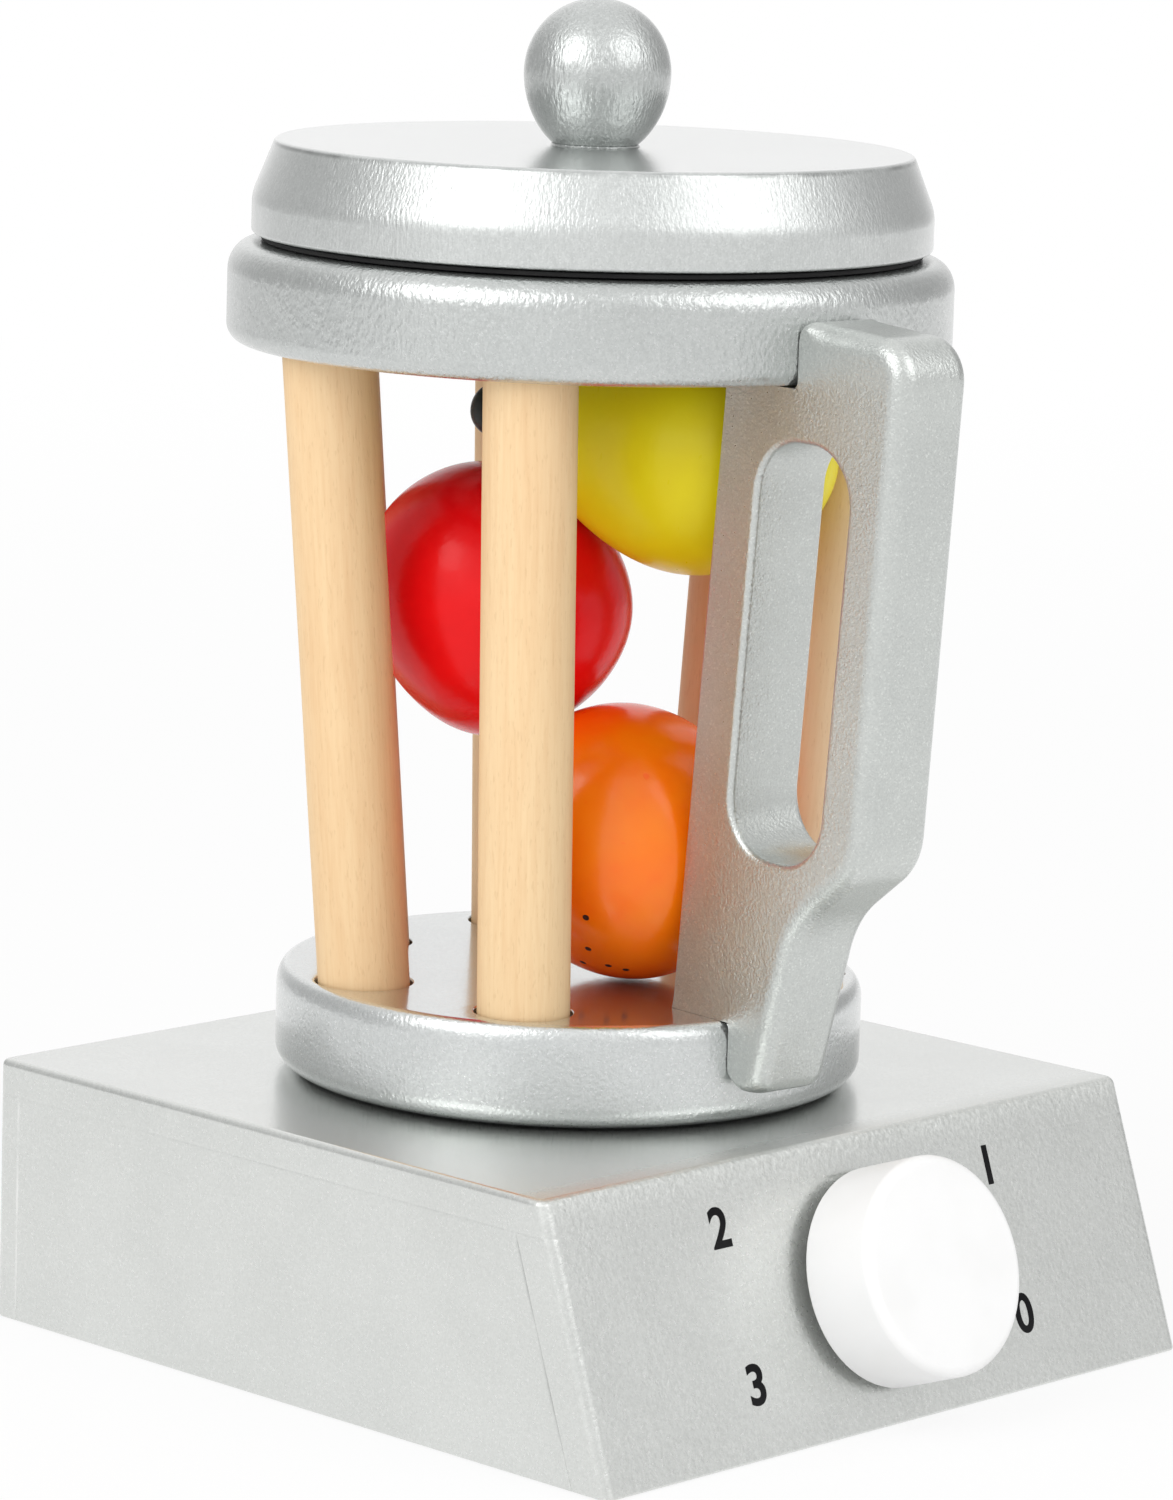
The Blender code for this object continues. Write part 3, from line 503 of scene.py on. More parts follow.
@dataclass(frozen=True)
class MattePaint(Finish):
    """Matte lacquer with a faint orange peel."""

    title: str
    colour: Colour
    dull: Colour
    peel_height: float = 0.00002
    shine: float = 0.48
    gloss: float = 0.5
    peel_scale: float = 620.0
    cloud_scale: float = 70.0

    def lay(self, graph: Graph) -> None:
        """Build the paint's nodes."""
        place = graph.place()
        peel = graph.noise(place, self.peel_scale, 3.0, 0.55)
        cloud = graph.noise(place, self.cloud_scale)
        graph.surface({
            "Base Color": graph.mix(cloud.smooth(0.35, 0.75), self.colour, self.dull),
            "Roughness": self.shine + 0.10 * peel,
            "Specular IOR Level": self.gloss,
            "Normal": graph.bump(peel, self.peel_height),
        })


@dataclass(frozen=True)
class BareWood(Finish):
    """Plain sawn wood of the hidden pieces, its fibres along one axis."""

    title: str
    along: tuple[float, float, float] = (0.05, 1.0, 1.0)
    pale: Colour = (0.66, 0.50, 0.32)
    dark: Colour = (0.48, 0.33, 0.18)
    fibre_height: float = 0.00008
    shine: float = 0.62
    band_scale: float = 160.0
    fibre_scale: float = 1300.0

    def lay(self, graph: Graph) -> None:
        """Build the wood's nodes."""
        lengthwise = graph.place(self.along)
        bands = graph.noise(lengthwise, self.band_scale, 4.0, 0.6)
        fibres = graph.noise(lengthwise, self.fibre_scale, 2.0, 0.6)
        graph.surface({
            "Base Color": graph.mix(bands.smooth(0.3, 0.7) * 0.6 + fibres * 0.4, self.pale, self.dark),
            "Roughness": self.shine + 0.2 * fibres,
            "Normal": graph.bump(fibres, self.fibre_height),
        })


@dataclass(frozen=True)
class ZincSteel(Finish):
    """Zinc plated steel of screws and washers."""

    title: str = "zinc_steel"
    colour: Colour = (0.60, 0.61, 0.63)
    warm: Colour = (0.52, 0.50, 0.44)
    grain_height: float = 0.00001
    shine: float = 0.26
    grain_scale: float = 2200.0
    bloom_scale: float = 260.0

    def lay(self, graph: Graph) -> None:
        """Build the steel's nodes."""
        place = graph.place()
        grain = graph.noise(place, self.grain_scale, 2.0, 0.6)
        bloom = graph.noise(place, self.bloom_scale)
        graph.surface({
            "Base Color": graph.mix(bloom.smooth(0.4, 0.8), self.colour, self.warm),
            "Metallic": 1.0,
            "Roughness": self.shine + 0.2 * grain,
            "Normal": graph.bump(grain, self.grain_height),
        })


def fillet(before: Point, corner: Point, after: Point, radius: float, steps: int) -> list[Point]:
    """Round one corner of an outline.

    Args:
        before: The corner before it.
        corner: The corner.
        after: The corner after it.
        radius: The fillet's radius; at 0 the corner stays sharp.
        steps: How many steps the arc has.

    Returns:
        The arc's points.
    """
    if radius <= 0:
        return [corner]
    tip = Vector(corner)
    back = (Vector(before) - tip).normalized()
    ahead = (Vector(after) - tip).normalized()
    half = back.angle(ahead) / 2
    centre = tip + (back + ahead).normalized() * (radius / math.sin(half))
    start = tip + back * (radius / math.tan(half)) - centre
    finish = tip + ahead * (radius / math.tan(half)) - centre
    sweep = math.pi - 2 * half
    arc = []
    for step in range(steps + 1):
        share = step / steps
        blend = start * math.sin((1 - share) * sweep) + finish * math.sin(share * sweep)
        spot = centre + blend / math.sin(sweep)
        arc.append((spot.x, spot.y))
    return arc


def rounded(corners: Sequence[tuple[float, float, float]], steps: int, closed: bool = True) -> list[Point]:
    """Round the corners of an outline.

    Args:
        corners: Each corner as (across, up, radius).
        steps: How many steps each arc has.
        closed: Whether the outline closes; an open one keeps its ends.

    Returns:
        The outline's points.
    """
    count = len(corners)
    outline: list[Point] = []
    for index, (across, up, radius) in enumerate(corners):
        if not closed and index in (0, count - 1):
            outline.append((across, up))
            continue
        before, after = corners[index - 1][:2], corners[(index + 1) % count][:2]
        outline += fillet(before, (across, up), after, radius, steps)
    return outline


def oval(corner: Point, wide: float, tall: float, steps: int) -> list[Point]:
    """Round an outer corner of a turned profile with a quarter of an ellipse.

    Args:
        corner: The sharp corner as (radius, height).
        wide: How far in it starts on the flat side.
        tall: How far down it ends on the round side; less than zero at a foot, where it ends above.
        steps: How many steps it has.

    Returns:
        Its points, from the flat side to the round side.
    """
    turns = [math.pi / 2 * step / steps for step in range(steps + 1)]
    across, up = corner
    return [(across - wide * (1 - math.sin(turn)), up - tall * (1 - math.cos(turn))) for turn in turns]


def spread(low: float, high: float, step: float) -> list[float]:
    """Return evenly spaced values from low to high, both with them, about a step apart."""
    count = max(1, math.ceil((high - low) / step))
    return [low + (high - low) * index / count for index in range(count + 1)]


class Skin:
    """A surface in the making: loops of points that are bridged and capped, then made a mesh."""

    def __init__(self) -> None:
        """Start with nothing."""
        self.points: list[Vector] = []
        self.faces: list[tuple[int, ...]] = []

    def loop(self, points: Iterable[Sequence[float]]) -> list[int]:
        """Add a loop of points and return their numbers."""
        start = len(self.points)
        self.points += [Vector(point) for point in points]
        return list(range(start, len(self.points)))

    def bridge(self, first: Sequence[int], second: Sequence[int]) -> None:
        """Join two closed loops of the same length with quads."""
        count = len(first)
        for index in range(count):
            after = (index + 1) % count
            self.faces.append((first[index], first[after], second[after], second[index]))

    def strip(self, loops: Sequence[Sequence[int]]) -> None:
        """Bridge each loop to the next."""
        for first, second in zip(loops, loops[1:]):
            self.bridge(first, second)

    def fan(self, loop: Sequence[int], centre: Sequence[float]) -> None:
        """Close a loop with triangles round a centre."""
        middle = self.loop([centre])[0]
        for index, point in enumerate(loop):
            self.faces.append((point, loop[(index + 1) % len(loop)], middle))

    def cap(self, outer: Sequence[int], holes: Sequence[Sequence[int]] = ()) -> None:
        """Fill a flat region.

        Args:
            outer: Its outer loop.
            holes: The loops of its holes.
        """
        loops = [outer, *holes]
        numbers = [number for loop in loops for number in loop]
        for corners in tessellate_polygon([[self.points[number] for number in loop] for loop in loops]):
            self.faces.append(tuple(numbers[corner] for corner in corners))

    def turned(self, profile: Sequence[Point], sides: int) -> tuple[list[int], list[int]]:
        """Turn a profile of (radius, height) points about Z.

        Args:
            profile: The points; one of radius 0 at an end closes the shape there.
            sides: How many sides a circle has.

        Returns:
            The first and the last open loop.
        """
        spokes = [(math.cos(turn), math.sin(turn)) for turn in np.linspace(0, math.tau, sides, endpoint=False)]
        open_part = [point for point in profile if point[0] > 0]
        loops = [self.loop([(r * x, r * y, z) for x, y in spokes]) for r, z in open_part]
        self.strip(loops)
        if profile[0][0] <= 0:
            self.fan(loops[0], (0.0, 0.0, profile[0][1]))
        if profile[-1][0] <= 0:
            self.fan(loops[-1], (0.0, 0.0, profile[-1][1]))
        return loops[0], loops[-1]

    def move(self, shift: Callable[[Vector], Vector]) -> None:
        """Move every point by what a function of its place gives."""
        self.points = [point + shift(point) for point in self.points]

    def mesh(self, name: str, crease: float = SHARP_EDGE) -> bpy.types.Mesh:
        """Make the mesh.

        Args:
            name: The mesh's name.
            crease: The angle from which an edge is sharp.

        Returns:
            The mesh, welded, with its faces outward and smooth.
        """
        mesh = bpy.data.meshes.new(name)
        mesh.from_pydata(self.points, [], self.faces)
        shape = bmesh.new()
        shape.from_mesh(mesh)
        bmesh.ops.remove_doubles(shape, verts=shape.verts, dist=2e-6)
        bmesh.ops.dissolve_degenerate(shape, edges=shape.edges, dist=1e-7)
        bmesh.ops.recalc_face_normals(shape, faces=shape.faces)
        shape.to_mesh(mesh)
        shape.free()
        mesh.shade_smooth()
        mesh.set_sharp_from_angle(angle=crease)
        return mesh


@dataclass(frozen=True)
class Stray:
    """How a hand-sanded shape strays from the true one: how far, over what length, and a seed."""

    amount: float
    pitch: float
    seed: float

    def shift(self, point: Vector) -> Vector:
        """Return one point's move."""
        offset = Vector((self.seed, self.seed * 1.7, -self.seed))
        return noise.noise_vector(point / self.pitch + offset) * self.amount


def lathe(
    name: str,
    profile: Sequence[Point],
    sides: int,
    stray: Optional[Stray] = None,
    crease: float = SHARP_EDGE,
) -> bpy.types.Mesh:
    """Return the mesh of a piece turned about Z.

    Args:
        name: The mesh's name.
        profile: The (radius, height) points, closed at both ends.
        sides: How many sides a circle has.
        stray: How the piece strays from true circles.
        crease: The angle from which an edge is sharp.

    Returns:
        The mesh.
    """
    skin = Skin()
    skin.turned(profile, sides)
    if stray is not None:
        skin.move(stray.shift)
    return skin.mesh(name, crease)


def put(name: str, data: bpy.types.ID) -> bpy.types.Object:
    """Add an object to the scene and return it."""
    thing = bpy.data.objects.new(name, data)
    bpy.context.scene.collection.objects.link(thing)
    return thing


class Bench:
    """Puts pieces on the bodies of the frame and dresses the nodes that stay."""

    face_weight: int = 60

    def __init__(self, frame: Mapping[str, Any]) -> None:
        """Keep the loaded frame."""
        self.nodes = frame["nodes"]
        self.count = 0

    def place(
        self,
        name: str,
        mesh: bpy.types.Mesh,
        finish: Finish,
        slot: Slot,
        body: Body,
        matrix: Optional[Matrix] = None,
        replaces: Sequence[str] = (),
        weigh: bool = True,
    ) -> bpy.types.Object:
        """Add a piece.

        Args:
            name: The piece's name.
            mesh: Its mesh, in its own coordinates.
            finish: What it is painted with.
            slot: The record's slot for that; it is not used.
            body: The body it rides on.
            matrix: Where it stands.
            replaces: The nodes that it stands for.
            weigh: Whether large faces rule the shading.

        Returns:
            The piece.
        """
        piece = put(name, mesh)
        mesh.materials.clear()
        mesh.materials.append(finish.material())
        if matrix is not None:
            piece.matrix_world = matrix
        if weigh:
            even = piece.modifiers.new("shading", "WEIGHTED_NORMAL")
            even.keep_sharp = True
            even.weight = self.face_weight
        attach(piece, body.value)
        if replaces:
            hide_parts(*replaces)
        self.count += 1
        LOG.info("placed %s on %s: %d faces", name, body.value, len(mesh.polygons))
        return piece

    def dress(self, finish: Finish, *names: str) -> None:
        """Give nodes that stay a finish."""
        for name in names:
            mesh = self.nodes[name].data
            for index in range(len(mesh.materials)):
                mesh.materials[index] = finish.material()
            if not mesh.materials:
                mesh.materials.append(finish.material())
            LOG.info("dressed %s in %s", name, finish.title)


@dataclass
class BaseBox:
    """The base: a painted box with a sloped front, its numbers, and what is inside."""

    width: float = 0.1454
    depth: float = 0.1494
    height: float = 0.0463
    slope: float = math.radians(19.7)
    top_board: float = 0.006
    front_board: float = 0.0075
    back_board: float = 0.0055
    side_board: float = 0.006
    rounding: float = 0.002
    top_rounding: float = 0.0012
    foot_rounding: float = 0.0005
    steps: int = 7
    pitch: float = 0.003
    seam_width: float = 0.00035
    seam_depth: float = 0.00022
    seam_clear: float = 4.0
    top_seam_share: float = 0.35
    fill_scale: float = 60.0
    end_share: float = 0.1
    jug_setback: float = 0.007
    spindle_bore: float = 0.0047
    bore_sides: int = 48
    front_zone: Point = (0.067, 0.0702)
    edge_way: tuple[float, float, float] = (0.0, -0.5, 0.866)
    edge_zone: Point = (0.0655, 0.069)
    digit_height: float = 0.0066
    digit_share: float = 0.7
    digit_steps: int = 8
    digit_weight: float = 0.00022
    ink: float = 0.00003
    digits: dict[str, Point] = field(default_factory=lambda: {
        "2": (-0.0340, 0.0384), "3": (-0.0333, 0.0120), "1": (0.0340, 0.0387), "0": (0.0350, 0.0125)})

    def front(self, height: float) -> float:
        """Return the Y of the front's outer face at a height."""
        return -self.depth / 2 + height * math.tan(self.slope)

    def seam_stops(self, *middles: float) -> list[float]:
        """Return the places of the lines that a seam's groove needs."""
        shares = (-2.5, -1.0, -0.5, 0.0, 0.5, 1.0, 2.5)
        return [middle + share * self.seam_width for middle in middles for share in shares]

    def stations(self, length: float, *seams: float) -> list[float]:
        """Return places along a straight side, from 0 to its length, with a seam's lines among them."""
        clear = self.seam_clear * self.seam_width
        plain = [at for at in spread(0, length, self.pitch) if all(abs(at - seam) > clear for seam in seams)]
        return sorted(set(plain + self.seam_stops(*seams) + [0.0, length]))

    def section(self, height: float, inset: float) -> list[Vector]:
        """Return the box's level outline.

        Args:
            height: The height of the section.
            inset: How far it is drawn in, along a rounded edge.

        Returns:
            Its points, from the front's left end round by the right.
        """
        half, back, front = self.width / 2, self.depth / 2, self.front(height)
        arc = self.rounding - inset
        across = self.width - 2 * self.rounding
        along = self.depth - self.height * math.tan(self.slope) - 2 * self.rounding
        flat = back - front - 2 * self.rounding
        front_seam = self.front_board / math.cos(self.slope) - self.rounding
        back_seam = self.back_board - self.rounding
        centres = [
            (half - self.rounding, front + self.rounding, -90),
            (half - self.rounding, back - self.rounding, 0),
            (-half + self.rounding, back - self.rounding, 90),
            (-half + self.rounding, front + self.rounding, 180),
        ]
        side = [at / along for at in self.stations(along, front_seam, along - back_seam)]
        outline: list[Vector] = []
        for number, (x, y, start) in enumerate(centres):
            if number in (0, 2):
                for at in self.stations(across)[1:-1]:
                    sign = 1 if number == 0 else -1
                    edge = front + inset if number == 0 else back - inset
                    outline.append(Vector((sign * (at - across / 2), edge, height)))
            else:
                x_edge = half - inset if number == 1 else -half + inset
                for share in side[1:-1] if number == 1 else side[-2:0:-1]:
                    outline.append(Vector((x_edge, self.side_place(share, along, flat, front), height)))
            for step in range(self.steps + 1):
                turn = math.radians(start + 90 * step / self.steps)
                outline.append(Vector((x + arc * math.cos(turn), y + arc * math.sin(turn), height)))
        return outline

    def side_place(self, share: float, along: float, flat: float, front: float) -> float:
        """Return the Y of a station on a side; those near an end keep their distance to it."""
        at = share * along
        extra = flat - along
        begin = front + self.rounding
        blend = min(1.0, max(0.0, (share - self.end_share) / (1 - 2 * self.end_share)))
        return begin + at + extra * blend

    def groove(self, point: Vector) -> Vector:
        """Return how far a point sinks into the boards' seams; the paint fills them here and there."""
        level = self.height - self.top_board
        front_line = self.front(point.z) + self.front_board / math.cos(self.slope)
        back_line = self.depth / 2 - self.back_board
        fill = 0.5 + 0.5 * noise.noise(point * self.fill_scale)
        near = self.rounding / 2
        on_side = abs(point.x) > self.width / 2 - near
        on_end = point.y < self.front(point.z) + near or point.y > self.depth / 2 - near
        if not on_side and not on_end:
            return Vector((0, 0, 0))
        depth = self.top_seam_share * self.notch(point.z - level)
        if on_side and point.z < level:
            depth = max(depth, self.notch(point.y - front_line), self.notch(point.y - back_line))
        depth *= self.seam_depth * fill
        if on_side:
            return Vector((-math.copysign(depth, point.x), 0, 0))
        return Vector((0, depth if point.y < 0 else -depth, 0))

    def notch(self, away: float) -> float:
        """Return the share of a groove's depth at a distance from its middle."""
        return max(0.0, 1.0 - abs(away) / self.seam_width)

    def shell(self) -> bpy.types.Mesh:
        """Return the painted box: rounded outside, hollow inside, open below."""
        skin = Skin()
        quarter = [math.pi / 2 * step / self.steps for step in range(self.steps + 1)]
        foot, crown = self.foot_rounding, self.top_rounding
        rows = [(foot * (1 - math.sin(turn)), foot * (1 - math.cos(turn))) for turn in quarter[::-1]]
        level = self.height - self.top_board
        walls = [at for at in spread(foot, self.height - crown, self.pitch)
                 if abs(at - level) > self.seam_clear * self.seam_width]
        rows += [(at, 0.0) for at in sorted(walls[1:-1] + self.seam_stops(level))]
        rows += [(self.height - crown * (1 - math.sin(turn)), crown * (1 - math.cos(turn))) for turn in quarter]
        loops = [skin.loop(self.section(height, inset)) for height, inset in rows]
        skin.strip(loops)
        skin.move(self.groove)
        mouth = skin.loop(self.cavity(0.0))
        ceiling = skin.loop(self.cavity(level))
        skin.cap(loops[0], [mouth])
        skin.bridge(mouth, ceiling)
        bore = [(self.spindle_bore * math.cos(turn), self.jug_setback + self.spindle_bore * math.sin(turn))
                for turn in np.linspace(0, math.tau, self.bore_sides, endpoint=False)]
        low = skin.loop([(x, y, level) for x, y in bore])
        high = skin.loop([(x, y, self.height) for x, y in bore])
        skin.bridge(low, high)
        skin.cap(ceiling, [low])
        skin.cap(loops[-1], [high])
        return skin.mesh("base_painted_box")

    def cavity(self, height: float) -> list[Vector]:
        """Return the inside's level outline at a height."""
        half = self.width / 2 - self.side_board
        back = self.depth / 2 - self.back_board
        front = self.front(height) + self.front_board / math.cos(self.slope)
        return [Vector((x, y, height)) for x, y in ((-half, front), (half, front), (half, back), (-half, back))]

    def face(self, across: float, up: float) -> Matrix:
        """Return a frame on the sloped front: X across, Y up the slope, Z out of it."""
        tilt = Matrix.Rotation(math.pi / 2 - self.slope, 4, "X")
        return Matrix.Translation((0, self.front(0), 0)) @ tilt @ Matrix.Translation((across, up, 0))

    def digit(self, text: str) -> bpy.types.Mesh:
        """Return one number as a thin layer of ink, its middle at the origin."""
        curve = bpy.data.curves.new("digit_" + text, "FONT")
        curve.body = text
        curve.size = self.digit_height / self.digit_share
        curve.offset = self.digit_weight
        curve.extrude = self.ink / 2
        curve.align_x = "CENTER"
        curve.align_y = "CENTER"
        curve.resolution_u = self.digit_steps
        guide = put("digit_guide", curve)
        bpy.context.view_layer.update()
        mesh = bpy.data.meshes.new_from_object(guide.evaluated_get(bpy.context.evaluated_depsgraph_get()))
        bpy.data.objects.remove(guide, do_unlink=True)
        return mesh

    def build(self, bench: Bench) -> None:
        """Build the box and its numbers, and dress what is inside."""
        tilt = (0.0, -math.cos(self.slope), math.sin(self.slope))
        zones = (
            Zone(tilt, *self.front_zone, 0.7),
            Zone(self.edge_way, *self.edge_zone, 1.4, 0.22),
            Zone.level(self.height, 0.0004, 0.0001, -0.7, -0.08),
        )
        outer = self.depth / 2 * math.cos(self.slope)
        ceiling = self.height - self.top_board
        seams = (
            SeamAndSheenLine(tilt, outer - self.front_board, 0.00040, ceiling, (0.34, 0.35, 0.34), 0.55),
            # The back seam's pale line is a painted highlight, a lamp's reflection in one flank of the groove;
            # the front seam's darker line is the joint.
            SeamAndSheenLine((0.0, 1.0, 0.0), self.depth / 2 - self.back_board, 0.00045, ceiling, (0.93, 0.93, 0.92), 0.75),
        )
        # The box's silver is a lighter copy of the one paint: its colour paints how brightly the box is lit.
        silver = SilverLacquer(
            "silver_box", Grain.EVEN, 0.00006, 1100.0, 0.31, (0.635, 0.65, 0.63), (0.785, 0.80, 0.78),
            relief=0.15, zones=zones, seams=seams)
        boards = ["base_" + name + "_board" for name in ("top", "front", "back", "left", "right")]
        bench.place("base_painted_box", self.shell(), silver, Slot.SILVER, Body.BASE, replaces=boards)
        ink = MattePaint("number_ink", (0.006, 0.006, 0.007), (0.012, 0.012, 0.013), 0.000006, 0.7, 0.12)
        for text, (across, up) in self.digits.items():
            matrix = self.face(across, up) @ Matrix.Translation((0, 0, self.ink / 2))
            name = "dial_number_" + text
            bench.place(name, self.digit(text), ink, Slot.BLACK, Body.BASE, matrix, weigh=False)
        bench.dress(BareWood("bottom_wood"), "base_bottom_board")
        corners = [end + "_" + hand for end in ("back", "front") for hand in ("left", "right")]
        bench.dress(BareWood("block_wood", (1.0, 1.0, 0.05)), *("glue_block_" + corner for corner in corners))
        bench.dress(ZincSteel(), *("base_screw_" + corner for corner in corners))


@dataclass
class Knob:
    """The white turned knob on its axle."""

    radius: float = 0.0187
    depth: float = 0.0148
    rounding: float = 0.0018
    back_edge: float = 0.0006
    standoff: float = 0.0019
    axle_radius: float = 0.0043
    socket: float = 0.009
    socket_edge: float = 0.0003
    face_rise: float = 0.00008
    sides: int = 144
    steps: int = 8
    stray: Stray = Stray(0.00006, 0.02, 3.1)

    def mesh(self) -> bpy.types.Mesh:
        """Return the knob, its back at its standoff, with the socket for the axle."""
        low, high = self.standoff, self.standoff + self.depth
        corners = [
            (0.0, high, 0.0),
            (self.radius * 0.5, high + self.face_rise, 0.0),
            (self.radius, high, self.rounding),
            (self.radius, low, self.back_edge),
            (self.axle_radius, low, self.socket_edge),
            (self.axle_radius, low + self.socket, 0.0),
            (0.0, low + self.socket, 0.0),
        ]
        return lathe("knob_turned", rounded(corners, self.steps, closed=False), self.sides, self.stray)

    def build(self, bench: Bench, base: BaseBox) -> None:
        """Build the knob and dress its axle, washer and screw."""
        white = MattePaint("white_knob", (0.86, 0.86, 0.86), (0.83, 0.83, 0.825), gloss=0.3)
        place = base.face(0.0, base.height / math.cos(base.slope) / 2)
        bench.place("knob_turned", self.mesh(), white, Slot.WHITE, Body.KNOB, place, ["knob"])
        bench.dress(SealedWood("axle_wood", 0.7, along=(1.0, 0.035, 1.0)), "knob_axle")
        bench.dress(ZincSteel(), "knob_washer", "knob_screw")


@dataclass
class Jug:
    """The jug: disc, ring, six splayed dowels and the handle."""

    setback: float = 0.007
    base_height: float = 0.0463
    seam: float = 0.0003
    disc_radius: float = 0.0512
    disc_thickness: float = 0.0182
    disc_rim: Point = (0.0023, 0.0038)
    disc_foot: Point = (0.0052, 0.0043)
    open_height: float = 0.1087
    ring_radius: float = 0.0624
    ring_bore: float = 0.041
    ring_thickness: float = 0.0170
    ring_rim: Point = (0.0042, 0.0050)
    ring_foot: Point = (0.0026, 0.0030)
    bore_rounding: float = 0.0008
    places: int = 7
    first_angle: float = math.radians(212.87)
    handle_place: int = 1
    dowel_radius: float = 0.0079
    dowel_chamfer: float = 0.0006
    foot_circle: float = 0.0399
    head_circle: float = 0.0494
    hole_ease: float = 0.0005
    hole_edge: float = 0.0003
    dowel_seat: float = 0.009
    spindle_radius: float = 0.0073
    spindle_height: float = 0.0098
    sides: int = 288
    hole_sides: int = 64
    dowel_sides: int = 80
    steps: int = 10
    edge_steps: int = 3
    pitch: float = 0.004
    dowel_stray: float = 0.00005
    dowel_swell: float = 0.03
    dowel_tones: tuple[int, ...] = (0, 1, 1, 0, 1, 0)

    @property
    def disc_bottom(self) -> float:
        """Return the height of the disc's underside."""
        return self.base_height + self.seam

    @property
    def disc_top(self) -> float:
        """Return the height of the disc's top."""
        return self.disc_bottom + self.disc_thickness

    @property
    def ring_bottom(self) -> float:
        """Return the height of the ring's underside."""
        return self.disc_top + self.open_height

    @property
    def ring_top(self) -> float:
        """Return the height of the ring's top."""
        return self.ring_bottom + self.ring_thickness

    @property
    def splay(self) -> float:
        """Return how far a dowel leans out."""
        return math.atan2(self.head_circle - self.foot_circle, self.open_height)

    @property
    def axis(self) -> Matrix:
        """Return the frame of the jug's axis, at the height of the table."""
        return Matrix.Translation((0, self.setback, 0))

    @property
    def handle_angle(self) -> float:
        """Return the handle's bearing."""
        return self.first_angle + self.handle_place * math.tau / self.places

    def dowel_frames(self) -> list[Matrix]:
        """Return each dowel's frame about the jug's axis: its origin on the disc, its Z along the dowel."""
        frames = []
        for place in range(self.places):
            if place != self.handle_place:
                turn = Matrix.Rotation(self.first_angle + place * math.tau / self.places, 4, "Z")
                foot = Matrix.Translation((self.foot_circle, 0, self.disc_top))
                frames.append(turn @ foot @ Matrix.Rotation(self.splay, 4, "Y"))
        return frames

    def drill(self, skin: Skin, frame: Matrix, level: float, radius: float, depth: float) -> list[int]:
        """Drill a leaning blind hole in a flat side.

        Args:
            skin: The surface that gets the hole.
            frame: The hole's frame, its Z along the hole.
            level: The height of the flat side.
            radius: The hole's radius.
            depth: How far it goes along Z, less than zero for a hole that goes down.

        Returns:
            The loop at the flat side.
        """
        turns = np.linspace(0, math.tau, self.hole_sides, endpoint=False)
        lean = frame.to_3x3()
        way = math.copysign(1.0, depth)
        bottom = (level - frame.translation.z) / lean[2][2]
        edge = self.hole_edge

        def ring(across: float, sunk: float) -> list[int]:
            """Add a loop about the hole's axis, a little below the flat side."""
            points = []
            for turn in turns:
                start = frame @ Vector((across * math.cos(turn), across * math.sin(turn), 0.0))
                reach = (level + way * sunk - start.z) / lean[2][2]
                points.append(start + lean.col[2] * reach)
            return skin.loop(points)

        loops = [ring(radius + edge, 0.0)]
        for step in range(1, self.edge_steps + 1):
            turn = step / self.edge_steps * math.pi / 2
            loops.append(ring(radius + edge * (1 - math.sin(turn)), edge * (1 - math.cos(turn))))
        end = bottom + depth
        floor = [frame @ Vector((radius * math.cos(turn), radius * math.sin(turn), end)) for turn in turns]
        loops.append(skin.loop(floor))
        skin.strip(loops)
        skin.fan(loops[-1], frame @ Vector((0, 0, end)))
        return loops[0]

    def disc(self) -> bpy.types.Mesh:
        """Return the disc, with the holes of the dowels' feet and the spindle's socket."""
        skin = Skin()
        foot, height = self.disc_foot
        profile = oval((self.disc_radius, self.disc_top), *self.disc_rim, self.steps)
        profile += oval((self.disc_radius, self.disc_bottom), foot, -height, self.steps)[::-1]
        socket = self.disc_bottom + self.spindle_height
        profile += [(self.spindle_radius, self.disc_bottom), (self.spindle_radius, socket), (0.0, socket)]
        rim, _ = skin.turned(self.denser(profile), self.sides)
        radius = self.dowel_radius + self.hole_ease
        holes = [self.drill(skin, frame, self.disc_top, radius, -self.dowel_seat)
                 for frame in self.dowel_frames()]
        skin.cap(rim, holes)
        return skin.mesh("jug_disc_turned")

    def denser(self, profile: Sequence[Point]) -> list[Point]:
        """Return a profile with points added along its long stretches."""
        points = [profile[0]]
        for (r0, z0), (r1, z1) in zip(profile, profile[1:]):
            count = max(1, math.ceil(math.hypot(r1 - r0, z1 - z0) / self.pitch))
            points += [(r0 + (r1 - r0) * k / count, z0 + (z1 - z0) * k / count)
                       for k in range(1, count + 1)]
        return points

    def ring(self) -> bpy.types.Mesh:
        """Return the ring, with the holes of the dowels' heads."""
        skin = Skin()
        foot, height = self.ring_foot
        profile = rounded([
            (self.ring_bore + self.bore_rounding * 1.5, self.ring_bottom, 0.0),
            (self.ring_bore, self.ring_bottom, self.bore_rounding),
            (self.ring_bore, self.ring_top, self.bore_rounding),
            (self.ring_radius - self.ring_rim[0], self.ring_top, 0.0),
        ], self.steps, closed=False)[:-1]
        profile += oval((self.ring_radius, self.ring_top), *self.ring_rim, self.steps)
        profile += oval((self.ring_radius, self.ring_bottom), foot, -height, self.steps)[::-1]
        inside, outside = skin.turned(self.denser(profile), self.sides)
        length = self.open_height / math.cos(self.splay)
        holes = []
        for frame in self.dowel_frames():
            head = frame @ Matrix.Translation((0, 0, length))
            radius = self.dowel_radius + self.seam
            holes.append(self.drill(skin, head, self.ring_bottom, radius, self.dowel_seat))
        skin.cap(outside, [inside, *holes])
        return skin.mesh("jug_ring_turned")

